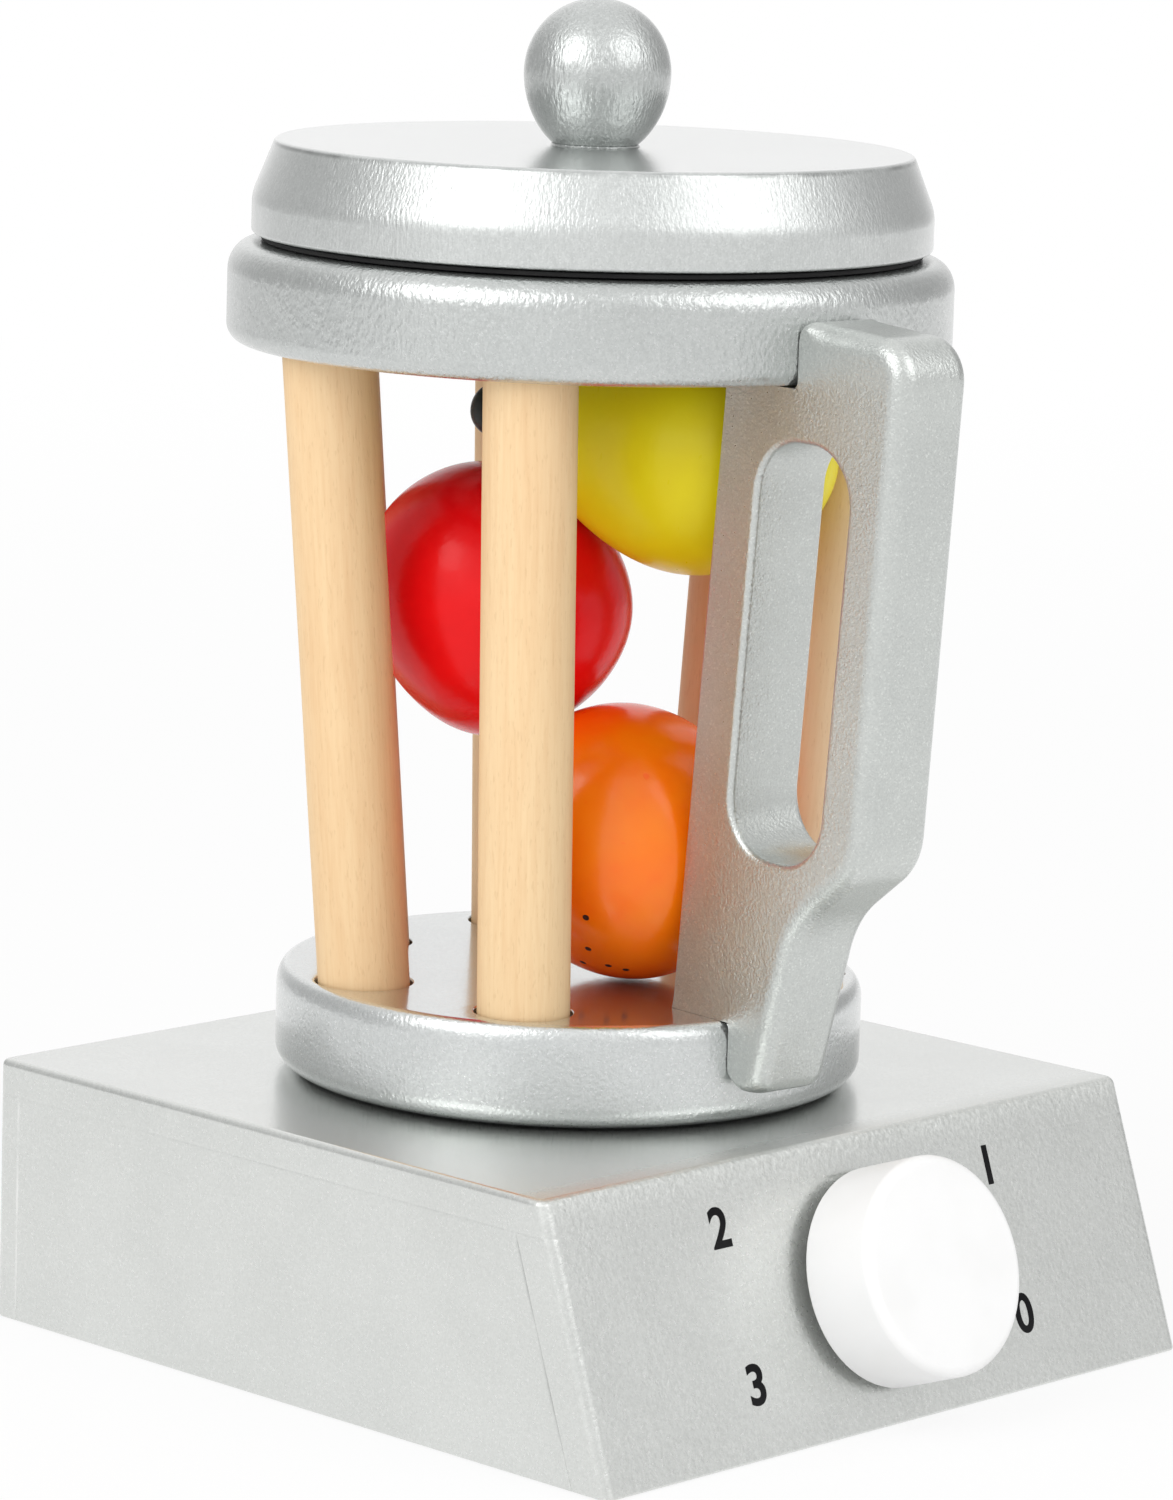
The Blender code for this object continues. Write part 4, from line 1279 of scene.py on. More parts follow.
    def dowel(self, seed: float) -> bpy.types.Mesh:
        """Return one dowel, its origin where it leaves the disc."""
        low = -self.dowel_seat + self.seam
        high = self.open_height / math.cos(self.splay) + self.dowel_seat - self.seam
        radius, edge = self.dowel_radius, self.dowel_chamfer
        profile = [
            (0.0, high),
            (radius - edge, high),
            *((radius, at) for at in spread(low + edge, high - edge, self.pitch)[::-1]),
            (radius - edge, low),
            (0.0, low),
        ]
        return lathe("jug_dowel", profile, self.dowel_sides, Stray(self.dowel_stray, self.dowel_swell, seed))

    def build(self, bench: Bench) -> None:
        """Build the disc, the ring and the dowels."""
        top = Zone.level(self.disc_top, 0.0005, 0.0001, -0.9, -0.16)
        # The disc and the ring get their own copies of the one silver, their colours painting how brightly each
        # is lit.
        disc_silver = SilverLacquer(
            "silver_disc", Grain.EVEN, 0.00014, 1400.0, 0.52, (0.57, 0.59, 0.585), (0.77, 0.79, 0.785),
            coat_dull=0.12, relief=0.20, zones=(top,))
        ring_silver = SilverLacquer(
            "silver_ring", Grain.WORMY, 0.00026, 1350.0, 0.77, (0.50, 0.52, 0.51), (0.68, 0.70, 0.69),
            relief=0.2)
        bench.place("jug_disc_turned", self.disc(), disc_silver, Slot.SILVER, Body.JUG, self.axis, ["jug_disc"])
        bench.place("jug_ring_turned", self.ring(), ring_silver, Slot.SILVER, Body.JUG, self.axis, ["jug_ring"])
        tones = [((0.83, 0.61, 0.355), (0.73, 0.475, 0.25)), ((0.85, 0.66, 0.43), (0.78, 0.57, 0.335))]
        for number, frame in enumerate(self.dowel_frames(), 1):
            pale, warm = tones[self.dowel_tones[(number - 1) % len(self.dowel_tones)]]
            wood = SealedWood(f"dowel_wood_{number}", 0.37 * number, pale, warm)
            name = f"jug_dowel_{number}"
            mesh = self.dowel(0.9 * number)
            bench.place(name + "_turned", mesh, wood, Slot.PALE_WOOD, Body.JUG, self.axis @ frame, [name])
        bench.dress(SealedWood("pin_wood", 2.2), "handle_pin_lower", "handle_pin_upper")
        Handle().build(bench, self)


@dataclass
class Handle:
    """The jug's handle: a flat board cut to an outline, its outer edges well rounded, with a finger slot."""

    thickness: float = 0.0157
    foot_gap: float = 0.00001
    lap_ease: float = 0.0002
    notch_ease: float = 0.0002
    inner_foot: float = 0.0037
    inner_head: float = 0.0050
    grip_reach: float = 0.0876
    elbow_reach: float = 0.08165
    elbow_drop: float = 0.0783
    ankle_reach: float = 0.0669
    ankle_drop: float = 0.0898
    foot_drop: float = 0.0114
    foot_width: float = 0.0072
    lift: float = 0.0110
    top_fall: float = 0.0015
    edge_rounding: float = 0.0034
    inner_rounding: float = 0.0006
    joint_rounding: float = 0.00004
    toe_rounding: float = 0.0012
    toe_reach: float = 0.0036
    top_inner_fillet: float = 0.0021
    top_outer_fillet: float = 0.0074
    elbow_fillet: float = 0.0115
    ankle_fillet: float = 0.0180
    toe_fillet: float = 0.0038
    step_fillet: float = 0.0012
    slot_head_drop: float = 0.0093
    slot_foot_rise: float = 0.0290
    slot_wall: float = 0.0101
    slot_width: float = 0.0221
    slot_fillet: float = 0.0095
    slot_rounding: float = 0.00115
    fit_fade: float = 0.0040
    corner_reach: float = 1.6
    corner_share: float = 0.85
    blend: float = 0.0011
    flat_inset: float = 0.0005
    steps: int = 12
    pitch: float = 0.0014
    rows: int = 7

    def inner_reach(self, jug: Jug, height: float) -> float:
        """Return how far the inner edge lies from the jug's axis at a height."""
        share = (height - jug.disc_top) / jug.open_height
        foot = jug.foot_circle - self.inner_foot
        head = jug.head_circle - self.inner_head
        return foot + (head - foot) * share

    def outlines(self, jug: Jug) -> tuple[list[Point], list[Point]]:
        """Return the board's outline and its slot's, as (reach, height) points."""
        low, high = jug.disc_top + self.foot_gap, jug.ring_bottom - jug.seam
        lap, notch = jug.disc_radius + self.lap_ease, jug.ring_radius + self.notch_ease
        foot, top = jug.disc_top - self.foot_drop, jug.ring_bottom + self.lift
        board = rounded([
            (self.inner_reach(jug, low), low, 0.0),
            (lap, low, self.step_fillet),
            (lap, foot, self.toe_fillet),
            (lap + self.foot_width, foot, self.toe_fillet),
            (self.ankle_reach, jug.ring_bottom - self.ankle_drop, self.ankle_fillet),
            (self.elbow_reach, jug.ring_bottom - self.elbow_drop, self.elbow_fillet),
            (self.grip_reach, top - self.top_fall, self.top_outer_fillet),
            (notch, top, self.top_inner_fillet),
            (notch, high, self.step_fillet),
            (self.inner_reach(jug, high), high, 0.0),
        ], self.steps)
        slot_low, slot_high = jug.disc_top + self.slot_foot_rise, jug.ring_bottom - self.slot_head_drop
        near_low = self.inner_reach(jug, slot_low) + self.slot_wall
        near_high = self.inner_reach(jug, slot_high) + self.slot_wall
        slot = rounded([
            (near_low + self.slot_width, slot_low, self.slot_fillet),
            (near_low, slot_low, self.slot_fillet),
            (near_high, slot_high, self.slot_fillet),
            (near_high + self.slot_width, slot_high, self.slot_fillet),
        ], self.steps)
        return board, slot

    def spaced(self, outline: Sequence[Point]) -> np.ndarray:
        """Return an outline with points added along its straight stretches."""
        points = []
        for start, finish in zip(outline, [*outline[1:], outline[0]]):
            length = math.dist(start, finish)
            if length < 1e-7:
                continue
            count = max(1, math.ceil(length / self.pitch))
            points += [(np.array(start) * (count - k) + np.array(finish) * k) / count for k in range(count)]
        return np.array(points)

    def roundings(self, jug: Jug, points: np.ndarray) -> np.ndarray:
        """Return how much the edge is rounded at each point of the board's outline."""
        reach, height = points[:, 0], points[:, 1]
        inner = np.array([self.inner_reach(jug, z) for z in height])
        tiny = 2 * jug.seam
        on_disc = (height < jug.disc_top + tiny) & (reach < jug.disc_radius + tiny)
        on_ring = (height > jug.ring_bottom - tiny) & (reach < jug.ring_radius + tiny)
        inside = reach < inner + tiny
        value = np.where(on_disc | on_ring, self.joint_rounding, self.edge_rounding)
        value = np.where(inside & ~on_disc & ~on_ring, self.inner_rounding, value)
        toe = height < jug.disc_top - self.foot_drop + self.toe_reach
        toe &= reach < jug.disc_radius + self.toe_reach
        value = np.where(toe & ~on_disc, self.toe_rounding, value)
        corner = height > jug.ring_bottom
        corner &= reach < jug.ring_radius + self.corner_reach * self.top_inner_fillet
        value = np.where(corner & ~on_ring, self.corner_share * self.top_inner_fillet, value)
        gap = np.linalg.norm(points - np.roll(points, 1, axis=0), axis=1)
        place = np.cumsum(gap)
        whole = place[-1]
        away = np.abs(place[:, None] - place[None, :])
        away = np.minimum(away, whole - away)
        weight = np.exp(-0.5 * (away / self.blend) ** 2) * gap[None, :]
        return (weight * value[None, :]).sum(axis=1) / weight.sum(axis=1)

    def edge(
        self,
        skin: Skin,
        points: np.ndarray,
        roundings: np.ndarray,
        inward: float,
    ) -> tuple[list[int], list[int]]:
        """Add the rounded rim along an outline.

        Args:
            skin: The surface that gets it.
            points: The outline.
            roundings: The rounding at each point.
            inward: 1 where the wood lies to the left of the outline's run, -1 to the right.

        Returns:
            The loops in which the two flat sides begin.
        """
        run = np.roll(points, -1, axis=0) - np.roll(points, 1, axis=0)
        run /= np.linalg.norm(run, axis=1)[:, None]
        normal = np.stack([-run[:, 1], run[:, 0]], axis=1) * inward
        half = self.thickness / 2
        loops = []
        turns = [(1.0 - step / self.rows) * math.pi / 2 for step in range(self.rows + 1)]
        rims = [(turns[0], self.flat_inset), *((turn, 0.0) for turn in turns)]
        for side in (1.0, -1.0):
            part = []
            for turn, extra in rims:
                inset = roundings * (1 - math.cos(turn)) + extra
                depth = half - roundings * (1 - math.sin(turn))
                spots = points + normal * inset[:, None]
                part.append(skin.loop([(x, z, side * y) for (x, z), y in zip(spots.tolist(), depth.tolist())]))
            loops += part if side > 0 else part[::-1]
        skin.strip(loops)
        return loops[0], loops[-1]

    def mesh(self, jug: Jug) -> bpy.types.Mesh:
        """Return the handle: local X is the reach, Y the height and Z the thickness."""
        skin = Skin()
        board, slot = (self.spaced(outline) for outline in self.outlines(jug))
        near, far = self.edge(skin, board, self.roundings(jug, board), self.winding(board))
        round_slot = np.full(len(slot), self.slot_rounding)
        slot_near, slot_far = self.edge(skin, slot, round_slot, -self.winding(slot))
        skin.cap(near, [slot_near])
        skin.cap(far, [slot_far])
        skin.move(lambda point: self.hug(jug, point))
        return skin.mesh("jug_handle_shaped")

    @staticmethod
    def winding(points: np.ndarray) -> float:
        """Return 1 for an outline that runs anticlockwise, -1 for the other way."""
        after = np.roll(points, -1, axis=0)
        return math.copysign(1.0, float((points[:, 0] * after[:, 1] - after[:, 0] * points[:, 1]).sum()))

    def hug(self, jug: Jug, point: Vector) -> Vector:
        """Return how far a point moves so that the notches follow the round disc and ring."""
        if jug.disc_top < point.y < jug.ring_bottom - 2 * jug.seam:
            return Vector((0, 0, 0))
        radius = jug.disc_radius if point.y < jug.disc_top + self.foot_gap / 2 else jug.ring_radius
        if point.x < radius - jug.seam:
            return Vector((0, 0, 0))
        share = max(0.0, 1.0 - max(0.0, point.x - radius - jug.seam) / self.fit_fade)
        return Vector((-share * (radius - math.sqrt(radius ** 2 - point.z ** 2)), 0, 0))

    def build(self, bench: Bench, jug: Jug) -> None:
        """Build the handle on its side of the jug."""
        # The handle's copy of the silver has its own colour, which paints how brightly the handle is lit.
        silver = SilverLacquer(
            "silver_handle", Grain.EVEN, 0.00015, 1900.0, 0.13, (0.53, 0.55, 0.535), (0.70, 0.725, 0.70),
            shine=0.32, coat=0.45, sparkle=0.4, relief=0.15)
        stand = Matrix.Rotation(jug.handle_angle, 4, "Z") @ Matrix.Rotation(math.pi / 2, 4, "X")
        matrix = jug.axis @ stand
        bench.place("jug_handle_shaped", self.mesh(jug), silver, Slot.SILVER, Body.JUG, matrix, ["jug_handle"])


@dataclass
class Spindle:
    """The peg that the jug stands on, dressed as it is."""

    def build(self, bench: Bench) -> None:
        """Dress the peg, its washer and its screw."""
        bench.dress(SealedWood("spindle_wood", 1.4), "jug_spindle")
        bench.dress(ZincSteel(), "spindle_washer", "spindle_screw")


@dataclass
class Lid:
    """The lid: chamfered disc, a spacer painted black as the shadow of the gap under the lid, plug and ball."""

    seam: float = 0.0003
    radius: float = 0.0585
    thickness: float = 0.0162
    band: float = 0.0066
    top_radius: float = 0.0547
    top_rounding: float = 0.0010
    band_rounding: float = 0.008
    foot_rounding: float = 0.0007
    spacer_radius: float = 0.0568
    spacer_thickness: float = 0.0008
    plug_ease: float = 0.0008
    plug_depth: float = 0.005
    plug_rounding: float = 0.0006
    ball_radius: float = 0.0126
    ball_lower: float = 0.0150
    ball_foot: float = 0.0122
    ball_skirt: float = 0.0004
    skirt_flare: float = 0.4
    skirt_reach: float = 0.95
    thin_edge: float = 0.0002
    sides: int = 288
    disc_steps: int = 10
    spacer_steps: int = 4
    plug_steps: int = 6
    ball_sides: int = 120
    ball_rows: int = 30
    disc_stray: Stray = Stray(0.00005, 0.03, 5.2)
    ball_stray: Stray = Stray(0.00008, 0.012, 8.4)

    def bottom(self, jug: Jug) -> float:
        """Return the height of the lid's underside."""
        return jug.ring_top + 2 * self.seam + self.spacer_thickness

    def turn(
        self,
        name: str,
        jug: Jug,
        corners: Sequence[tuple[float, float, float]],
        steps: int,
        stray: Optional[Stray] = None,
    ) -> bpy.types.Mesh:
        """Return one of the lid's turned discs.

        Args:
            name: The mesh's name.
            jug: The jug that the lid stands on.
            corners: Each corner of the profile as (radius, height, rounding).
            steps: How many steps each rounding has.
            stray: How the disc strays from true circles.

        Returns:
            The mesh.
        """
        profile = jug.denser(rounded(corners, steps, closed=False))
        return lathe(name, profile, self.sides, stray)

    def disc(self, jug: Jug) -> bpy.types.Mesh:
        """Return the chamfered disc."""
        low = self.bottom(jug)
        high = low + self.thickness
        corners = [
            (0.0, high, 0.0),
            (self.top_radius, high, self.top_rounding),
            (self.radius, low + self.band, self.band_rounding),
            (self.radius, low, self.foot_rounding),
            (0.0, low, 0.0),
        ]
        return self.turn("lid_disc_turned", jug, corners, self.disc_steps, self.disc_stray)

    def spacer(self, jug: Jug) -> bpy.types.Mesh:
        """Return the thin disc between the lid and its plug, painted black as the shadow in the gap."""
        low = jug.ring_top + self.seam
        high = low + self.spacer_thickness
        corners = [
            (0.0, high, 0.0),
            (self.spacer_radius, high, self.thin_edge),
            (self.spacer_radius, low, self.thin_edge),
            (0.0, low, 0.0),
        ]
        return self.turn("lid_spacer_cut", jug, corners, self.spacer_steps)

    def plug(self, jug: Jug) -> bpy.types.Mesh:
        """Return the plug that centres the lid in the ring."""
        high = jug.ring_top + self.seam
        low = high - self.plug_depth
        across = jug.ring_bore - self.plug_ease
        corners = [
            (0.0, high, 0.0),
            (across, high, self.thin_edge),
            (across, low, self.plug_rounding),
            (0.0, low, 0.0),
        ]
        return self.turn("lid_plug_turned", jug, corners, self.plug_steps)

    def ball(self) -> bpy.types.Mesh:
        """Return the ball: round above, a little longer below, cut flat where it meets the disc."""
        profile = [(0.0, self.ball_radius)]
        for step in range(1, self.ball_rows + 1):
            turn = step / self.ball_rows * math.pi / 2
            profile.append((self.ball_radius * math.sin(turn), self.ball_radius * math.cos(turn)))
        foot_turn = math.asin(self.ball_foot / self.ball_lower)
        for step in range(1, self.ball_rows + 1):
            turn = step / self.ball_rows * foot_turn
            profile.append((self.ball_radius * math.cos(turn), -self.ball_lower * math.sin(turn)))
        foot = profile[-1][0]
        skirt_low = -self.ball_foot - self.seam * self.skirt_reach
        profile += [
            (foot + self.ball_skirt * self.skirt_flare, -self.ball_foot),
            (foot + self.ball_skirt, skirt_low),
            (0.0, skirt_low),
        ]
        return lathe("lid_ball_turned", profile, self.ball_sides, self.ball_stray)

    def build(self, bench: Bench, jug: Jug) -> None:
        """Build the lid's pieces and dress its screw."""
        high = self.bottom(jug) + self.thickness
        top = Zone.level(high, 0.0005, 0.0002, -0.85, -0.18)
        # A dark grey band just under the lid's top edge: a painted reflection of the dim surroundings between
        # the lamps.
        painted_edge_reflection = SeamAndSheenLine(UP, high - 0.0006, 0.0006, high + 0.1, (0.26, 0.27, 0.265), 0.85)
        # The lid, plug and ball get their own copies of the silver, their colours painting how brightly each is
        # lit.
        silver = SilverLacquer(
            "silver_lid", Grain.UPRIGHT, 0.00016, 1900.0, 0.23, (0.545, 0.565, 0.555), (0.74, 0.76, 0.75),
            shine=0.33, coat=1.0, coat_dull=0.18, relief=0.2, zones=(top,), seams=(painted_edge_reflection,))
        plain = SilverLacquer("silver_plug", shift=0.91)
        ball_silver = SilverLacquer(
            "silver_ball", Grain.UPRIGHT, 0.00028, 1800.0, 0.64, (0.46, 0.48, 0.47), (0.68, 0.70, 0.69),
            shine=0.31, coat=0.8, coat_dull=0.17, relief=0.2)
        # The spacer's near-black paint is painted shadow: it stands for the dark gap between the lid and the
        # ring.
        gap_shadow_paint = MattePaint("spacer_painted_shadow", (0.010, 0.010, 0.011), (0.018, 0.018, 0.018), 0.00004, 0.75)
        bench.place("lid_disc_turned", self.disc(jug), silver, Slot.SILVER, Body.LID, jug.axis, ["lid_disc"])
        bench.place("lid_plug_turned", self.plug(jug), plain, Slot.SILVER, Body.LID, jug.axis, ["lid_plug"])
        bench.place("lid_spacer_cut", self.spacer(jug), gap_shadow_paint, Slot.BLACK, Body.LID, jug.axis)
        stand = jug.axis @ Matrix.Translation((0, 0, high + self.seam + self.ball_foot))
        bench.place("lid_ball_turned", self.ball(), ball_silver, Slot.SILVER, Body.LID, stand, ["lid_ball"])
        bench.dress(ZincSteel(), "lid_screw")


@dataclass
class Fruit:
    """A turned fruit, lying where the frame has it."""

    name: str
    body: Body
    slot: Slot
    half_length: float
    radius: float
    taper: float
    pinch: float
    centre: tuple[float, float, float]
    axis: tuple[float, float, float]
    paint: GlossPaint
    seed: float
    sides: int = 128
    rows: int = 72
    stray: float = 0.00012
    pitch: float = 0.014

    @property
    def sanding(self) -> Stray:
        """Return how the fruit strays from its true shape."""
        return Stray(self.stray, self.pitch, self.seed)

    def profile(self) -> list[Point]:
        """Return the (radius, height) points, top first."""
        points = []
        for turn in np.linspace(0.0, math.pi, self.rows + 1):
            along = math.cos(turn)
            swell = 1 + self.taper * along + self.pinch * along ** 2
            points.append((self.radius * math.sin(turn) * swell, self.half_length * along))
        points[0] = (0.0, self.half_length)
        points[-1] = (0.0, -self.half_length)
        return points

    def surface(self, turn: float, bearing: float) -> tuple[Vector, Vector]:
        """Return a point on the paint and the way out of it, in the fruit's own frame.

        Args:
            turn: The profile's parameter, 0 at the top end of the axis.
            bearing: The angle about the axis.

        Returns:
            The point and the unit vector.
        """
        along = math.cos(turn)
        across = self.radius * math.sin(turn) * (1 + self.taper * along + self.pinch * along ** 2)
        spot = Vector((across * math.cos(bearing), across * math.sin(bearing), self.half_length * along))
        spot += self.sanding.shift(spot)
        out = Vector((spot.x / self.radius ** 2, spot.y / self.radius ** 2, spot.z / self.half_length ** 2))
        return spot, out.normalized()

    def frame(self) -> Matrix:
        """Return the fruit's frame: its origin at its centre, its Z along the turned axis."""
        turn = Vector(self.axis).to_track_quat("Z", "Y").to_matrix().to_4x4()
        return Matrix.Translation(self.centre) @ turn

    def build(self, bench: Bench) -> None:
        """Build the fruit."""
        mesh = lathe(self.name + "_turned", self.profile(), self.sides, self.sanding, SOFT_EDGE)
        bench.place(self.name + "_turned", mesh, self.paint, self.slot, self.body, self.frame(), [self.name])


@dataclass
class FruitBowl:
    """The three fruits with the bead and the dots that belong to them."""

    bead_radius: float = 0.0048
    bead_gap: float = 0.0003
    bead_rows: int = 32
    bead_sides: int = 64
    bead_stray: Stray = Stray(0.00008, 0.004, 2.8)
    dot_radius: float = 0.00062
    dot_height: float = 0.00012
    dot_sink: float = 0.3
    dot_root: float = 0.5
    dot_sides: int = 20
    dot_rings: tuple[float, ...] = (1.0, 0.96, 0.82, 0.55)
    dot_places: tuple[Point, ...] = (
        (36.5, 11.8), (26.7, -18.9), (22.0, -53.8), (32.8, -42.2),
        (40.1, -45.6), (34.0, 62.0), (27.5, 118.0), (38.0, 171.0))

    def fruits(self) -> list[Fruit]:
        """Return the fruits."""
        # The red and orange paints deepen towards their silhouettes through rim: painted shade on the edges.
        red = GlossPaint(
            "red_gloss", (0.92, 0.004, 0.007), (0.66, 0.002, 0.004), 0.4,
            ripple_height=0.00006, shine=0.16, gloss=0.24, rim=0.5)
        yellow = GlossPaint(
            "yellow_gloss", (0.82, 0.71, 0.010), (0.74, 0.56, 0.006), 0.8, shine=0.24, gloss=0.24)
        orange = GlossPaint(
            "orange_gloss", (1.0, 0.23, 0.003), (1.0, 0.06, 0.001), 1.3, shine=0.13, gloss=0.46, rim=0.75)
        return [
            Fruit("red_fruit", Body.RED_FRUIT, Slot.RED, 0.0240, 0.0223, -0.063, 0.115,
                  (-0.00835, 0.01990, 0.12923), (-0.5142, 0.3628, 0.7771), red, 1.7),
            Fruit("yellow_fruit", Body.YELLOW_FRUIT, Slot.YELLOW, 0.0273, 0.0220, -0.135, -0.17,
                  (0.00378, -0.01194, 0.15860), (-0.5305, 0.8391, 0.1201), yellow, 4.4),
            Fruit("orange_fruit", Body.ORANGE_FRUIT, Slot.ORANGE, 0.0229, 0.0243, 0.0, 0.048,
                  (-0.00061, -0.00649, 0.08909), (-0.7257, 0.2233, -0.6508), orange, 6.1),
        ]

    def bead(self, yellow: Fruit, bench: Bench) -> None:
        """Build the dark bead at the yellow fruit's end."""
        name = "yellow_fruit_bead"
        turns = np.linspace(0.0, math.pi, self.bead_rows + 1)
        profile = [(self.bead_radius * math.sin(turn), self.bead_radius * math.cos(turn)) for turn in turns]
        profile[0], profile[-1] = (0.0, self.bead_radius), (0.0, -self.bead_radius)
        away = yellow.half_length + self.bead_gap + self.bead_radius
        place = yellow.frame() @ Matrix.Translation((0, 0, away))
        black = GlossPaint("black_gloss", (0.012, 0.016, 0.014), (0.022, 0.028, 0.025), 0.6, shine=0.34)
        mesh = lathe(name + "_turned", profile, self.bead_sides, self.bead_stray, SOFT_EDGE)
        bench.place(name + "_turned", mesh, black, Slot.BLACK, Body.YELLOW_FRUIT, place, [name])

    def dots(self, orange: Fruit, bench: Bench) -> None:
        """Build the small dark dots round the orange fruit's end, each a low dome on the paint."""
        skin = Skin()
        turns = np.linspace(0.0, math.tau, self.dot_sides, endpoint=False)
        for turn, bearing in self.dot_places:
            spot, out = orange.surface(math.radians(turn), math.radians(bearing))
            side = out.orthogonal().normalized()
            other = out.cross(side)
            loops = []
            for share in self.dot_rings:
                rise = self.dot_height * ((1.0 - share ** 2) ** 0.5 - self.dot_sink)
                across = self.dot_radius * share
                loops.append(skin.loop([
                    spot + out * rise + (side * math.cos(at) + other * math.sin(at)) * across
                    for at in turns]))
            skin.strip(loops)
            skin.fan(loops[-1], spot + out * self.dot_height * (1.0 - self.dot_sink))
            skin.fan(loops[0], spot - out * self.dot_height * self.dot_root)
        dark = GlossPaint("dark_dots", (0.030, 0.008, 0.004), (0.050, 0.012, 0.006), 0.2, shine=0.5)
        mesh = skin.mesh("orange_fruit_dots", SOFT_EDGE)
        bench.place("orange_fruit_dots", mesh, dark, Slot.BLACK, Body.ORANGE_FRUIT, orange.frame(), weigh=False)

    def build(self, bench: Bench) -> None:
        """Build the fruits, the bead and the dots."""
        for fruit in self.fruits():
            fruit.build(bench)
            if fruit.name == "yellow_fruit":
                self.bead(fruit, bench)
            if fruit.name == "orange_fruit":
                self.dots(fruit, bench)


@dataclass(frozen=True)
class Softbox:
    """A square lamp that looks at the toy."""

    name: str
    azimuth: float
    elevation: float
    distance: float
    size: tuple[float, float]
    watts: float

    def build(self, aim: Vector) -> None:
        """Add the lamp."""
        light = bpy.data.lights.new(self.name, "AREA")
        light.shape = "RECTANGLE"
        light.size, light.size_y = self.size
        light.energy = self.watts
        back = direction(self.azimuth, self.elevation)
        turn = back.to_track_quat("Z", "Y").to_matrix().to_4x4()
        put(self.name, light).matrix_world = Matrix.Translation(aim + back * self.distance) @ turn


def direction(azimuth: float, elevation: float) -> Vector:
    """Return the unit vector from the toy towards a viewer.

    Args:
        azimuth: In degrees; 0 looks along +Y and 90 along -X.
        elevation: In degrees above the horizon.

    Returns:
        The direction.
    """
    turn, rise = math.radians(azimuth), math.radians(elevation)
    return Vector((math.sin(turn) * math.cos(rise), -math.cos(turn) * math.cos(rise), math.sin(rise)))


@dataclass(frozen=True)
class Shade:
    """A part of the surroundings that looks less bright, round one direction."""

    azimuth: float
    elevation: float
    low: float
    high: float
    amount: float


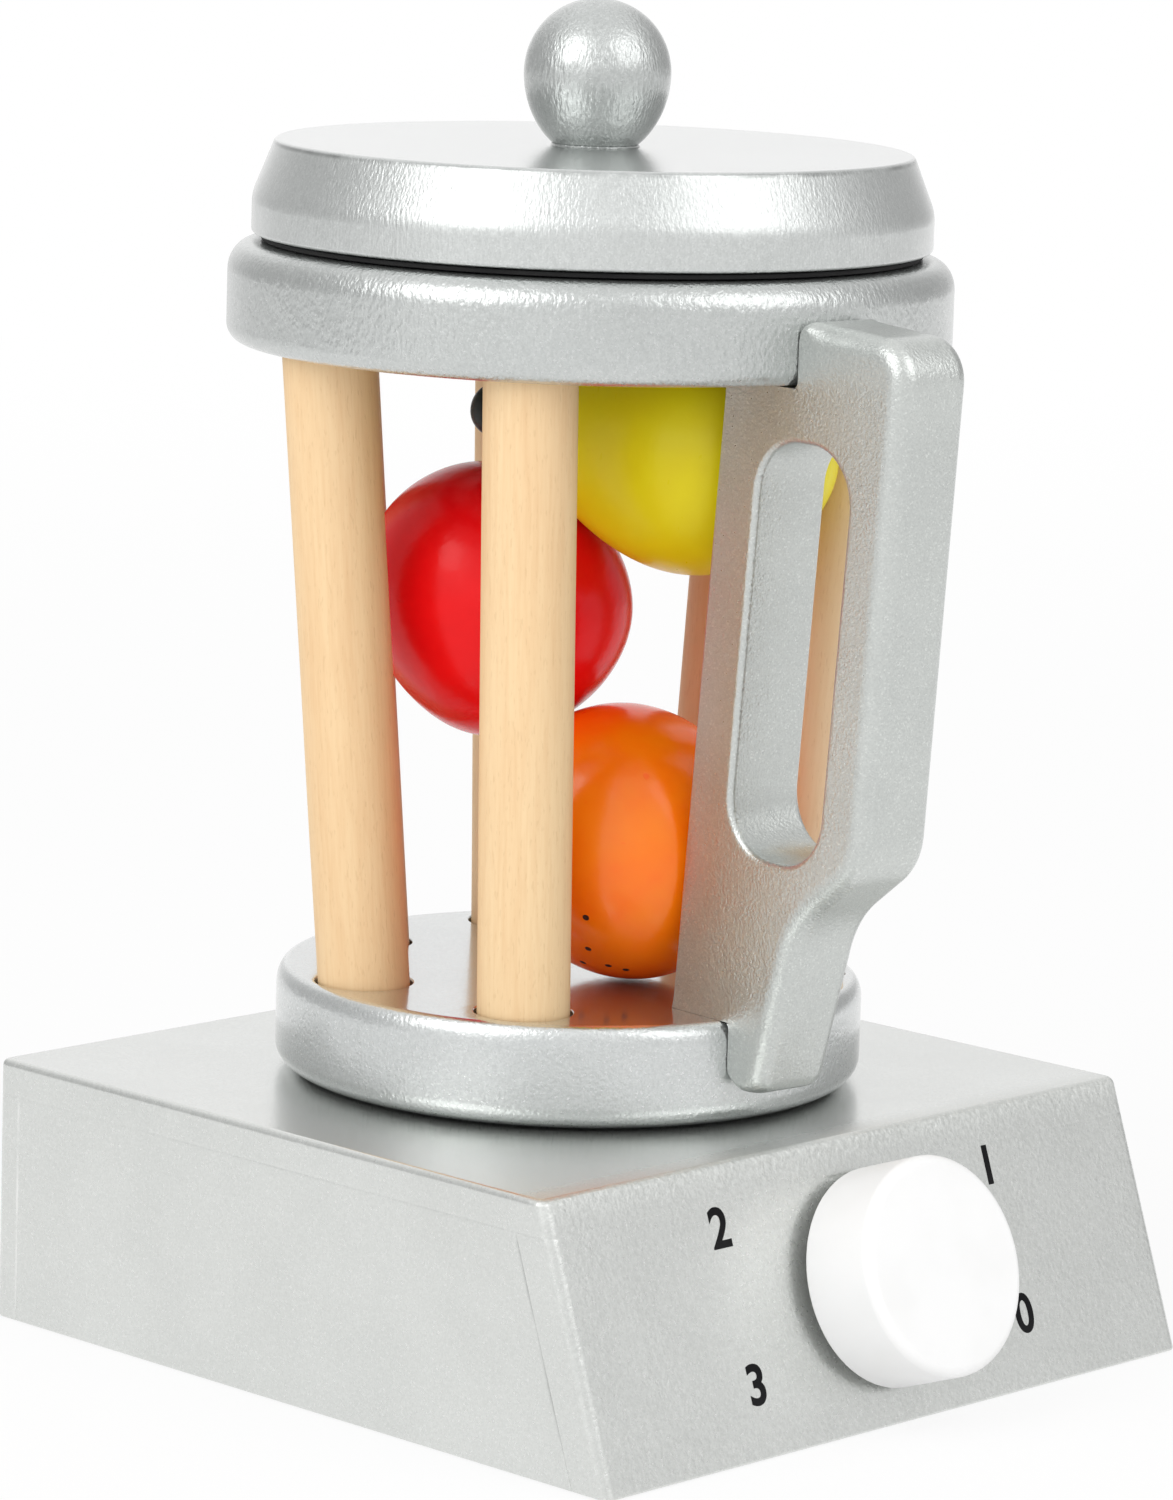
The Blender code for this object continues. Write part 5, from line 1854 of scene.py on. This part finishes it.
@dataclass
class Studio:
    """The floor, the white surroundings, the lamps and the camera."""

    camera_place: tuple[float, float, float] = (-0.77466, -0.73625, 0.28871)
    azimuth: float = -46.28
    elevation: float = 9.81
    roll: float = math.radians(1.81)
    lens: float = 150.26
    sensor: float = 36.0
    aim: tuple[float, float, float] = (0.0, 0.0, 0.11)
    floor_size: float = 6.0
    floor_cells: int = 12
    floor_drop: float = 0.0002
    floor_tone: float = 0.86
    floor_fade: Point = (0.3, 1.6)
    front_fill: float = 0.93
    back_fill: float = 0.75
    fill_span: Point = (-0.7, 0.8)
    glow: Shade = Shade(-68.0, 6.0, 0.72, 0.97, 0.8)
    shades: tuple[Shade, ...] = (
        Shade(15.0, 10.0, -0.1, 1.0, 0.13),
        Shade(-156.0, 0.0, 0.5, 0.95, 0.49),
        Shade(85.0, 15.0, 0.75, 1.0, 0.48),
        Shade(115.0, 8.0, 0.85, 1.0, 0.07),
    )
    floor_shade: Shade = Shade(-156.0, 0.0, 0.25, 0.7, 0.50)
    floor_white: float = 0.85
    lamps: tuple[Softbox, ...] = (
        Softbox("lamp_left", -92.0, 37.0, 1.1, (0.70, 0.70), 3.1),
        Softbox("lamp_right", 10.0, 40.0, 1.1, (0.74, 0.74), 2.25),
    )

    def world(self) -> None:
        """Make the surroundings white to the camera and in reflections, and a soft fill elsewhere."""
        world = bpy.data.worlds.new("studio_white")
        world.use_nodes = True
        bpy.context.scene.world = world
        graph = Graph(world.node_tree)
        camera = graph.ray("Is Camera Ray")
        way = graph.node("ShaderNodeTexCoord", output="Generated")
        shown: Operand = 1.0
        for shade in self.shades:
            shown = shown - self.share(graph, way, shade) * (1.0 - camera)
        near = Shade(self.azimuth, self.elevation, *self.fill_span, self.front_fill - self.back_fill)
        lit = self.back_fill + self.share(graph, way, near) + self.share(graph, way, self.glow)
        seen = self.seen(graph)
        background = graph.node("ShaderNodeBackground", None, {
            "Color": (1.0, 1.0, 1.0, 1.0), "Strength": shown * seen + lit * (1.0 - seen)})
        graph.node("ShaderNodeOutputWorld", None, {"Surface": background})

    @staticmethod
    def share(graph: Graph, way: Value, shade: Shade) -> Value:
        """Return how much of a shade lies in a direction."""
        along = graph.along(way, direction(shade.azimuth, shade.elevation))
        return along.smooth(shade.low, shade.high) * shade.amount

    @staticmethod
    def seen(graph: Graph) -> Value:
        """Return 1 for rays that show the surroundings: the camera's, mirrored and let through ones."""
        straight = graph.ray("Is Camera Ray").most(graph.ray("Is Glossy Ray"))
        return straight.most(graph.ray("Is Transmission Ray"))

    def floor(self) -> None:
        """Add the pale floor, which keeps the toy's shadow."""
        half = self.floor_size / 2
        mesh = bpy.data.meshes.new("floor")
        steps = spread(-half, half, self.floor_size / self.floor_cells)
        count = len(steps)
        points = [(x, y, -self.floor_drop) for y in steps for x in steps]
        faces = [(r * count + c, r * count + c + 1, (r + 1) * count + c + 1, (r + 1) * count + c)
                 for r in range(count - 1) for c in range(count - 1)]
        mesh.from_pydata(points, [], faces)
        floor = put("floor", mesh)
        material = bpy.data.materials.new("floor_white")
        material.use_nodes = True
        graph = Graph(material.node_tree)
        tone = (self.floor_tone, self.floor_tone, self.floor_tone, 1.0)
        matte = graph.node("ShaderNodeBsdfDiffuse", None, {"Color": tone})
        glow = graph.node("ShaderNodeEmission", None, {"Color": (1.0, 1.0, 1.0, 1.0), "Strength": 1.0})
        own = graph.own()
        away = graph.node("ShaderNodeVectorMath", {"operation": "LENGTH"}, {0: own}, "Value")
        white = self.floor_white + (1.0 - self.floor_white) * away.smooth(*self.floor_fade)
        hidden = 1.0 - graph.ray("Is Camera Ray")
        white = white * (1.0 - self.share(graph, own, self.floor_shade) * hidden)
        both = graph.node("ShaderNodeMixShader", None, {0: white * self.seen(graph), 1: matte, 2: glow})
        graph.node("ShaderNodeOutputMaterial", None, {"Surface": both})
        mesh.materials.append(material)

    def camera(self) -> None:
        """Add the camera at the photograph's viewpoint."""
        data = bpy.data.cameras.new("photo_camera")
        data.lens = self.lens
        data.sensor_width = self.sensor
        data.sensor_fit = "AUTO"
        back = direction(self.azimuth, self.elevation)
        right = (-back).cross(Vector(UP)).normalized()
        up = right.cross(-back)
        across = right * math.cos(self.roll) + up * math.sin(self.roll)
        upward = up * math.cos(self.roll) - right * math.sin(self.roll)
        camera = put("photo_camera", data)
        turn = Matrix((across, upward, back)).transposed().to_4x4()
        camera.matrix_world = Matrix.Translation(self.camera_place) @ turn
        bpy.context.scene.camera = camera

    def build(self) -> None:
        """Build the studio."""
        self.world()
        self.floor()
        for lamp in self.lamps:
            lamp.build(Vector(self.aim))
        self.camera()
        bpy.context.scene.view_settings.view_transform = "Standard"
        LOG.info("studio ready with %d lamps", len(self.lamps))


def main() -> None:
    """Build the toy and its studio, piece by piece."""
    logging.basicConfig(level=logging.INFO, format="%(name)s: %(message)s")
    noise.seed_set(STRAY_SEED)
    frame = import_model()
    bench = Bench(frame)
    base = BaseBox()
    base.build(bench)
    Knob().build(bench, base)
    Spindle().build(bench)
    jug = Jug()
    jug.build(bench)
    Lid().build(bench, jug)
    FruitBowl().build(bench)
    Studio().build()
    LOG.info("%d pieces placed", bench.count)


if __name__ == "__main__":
    main()
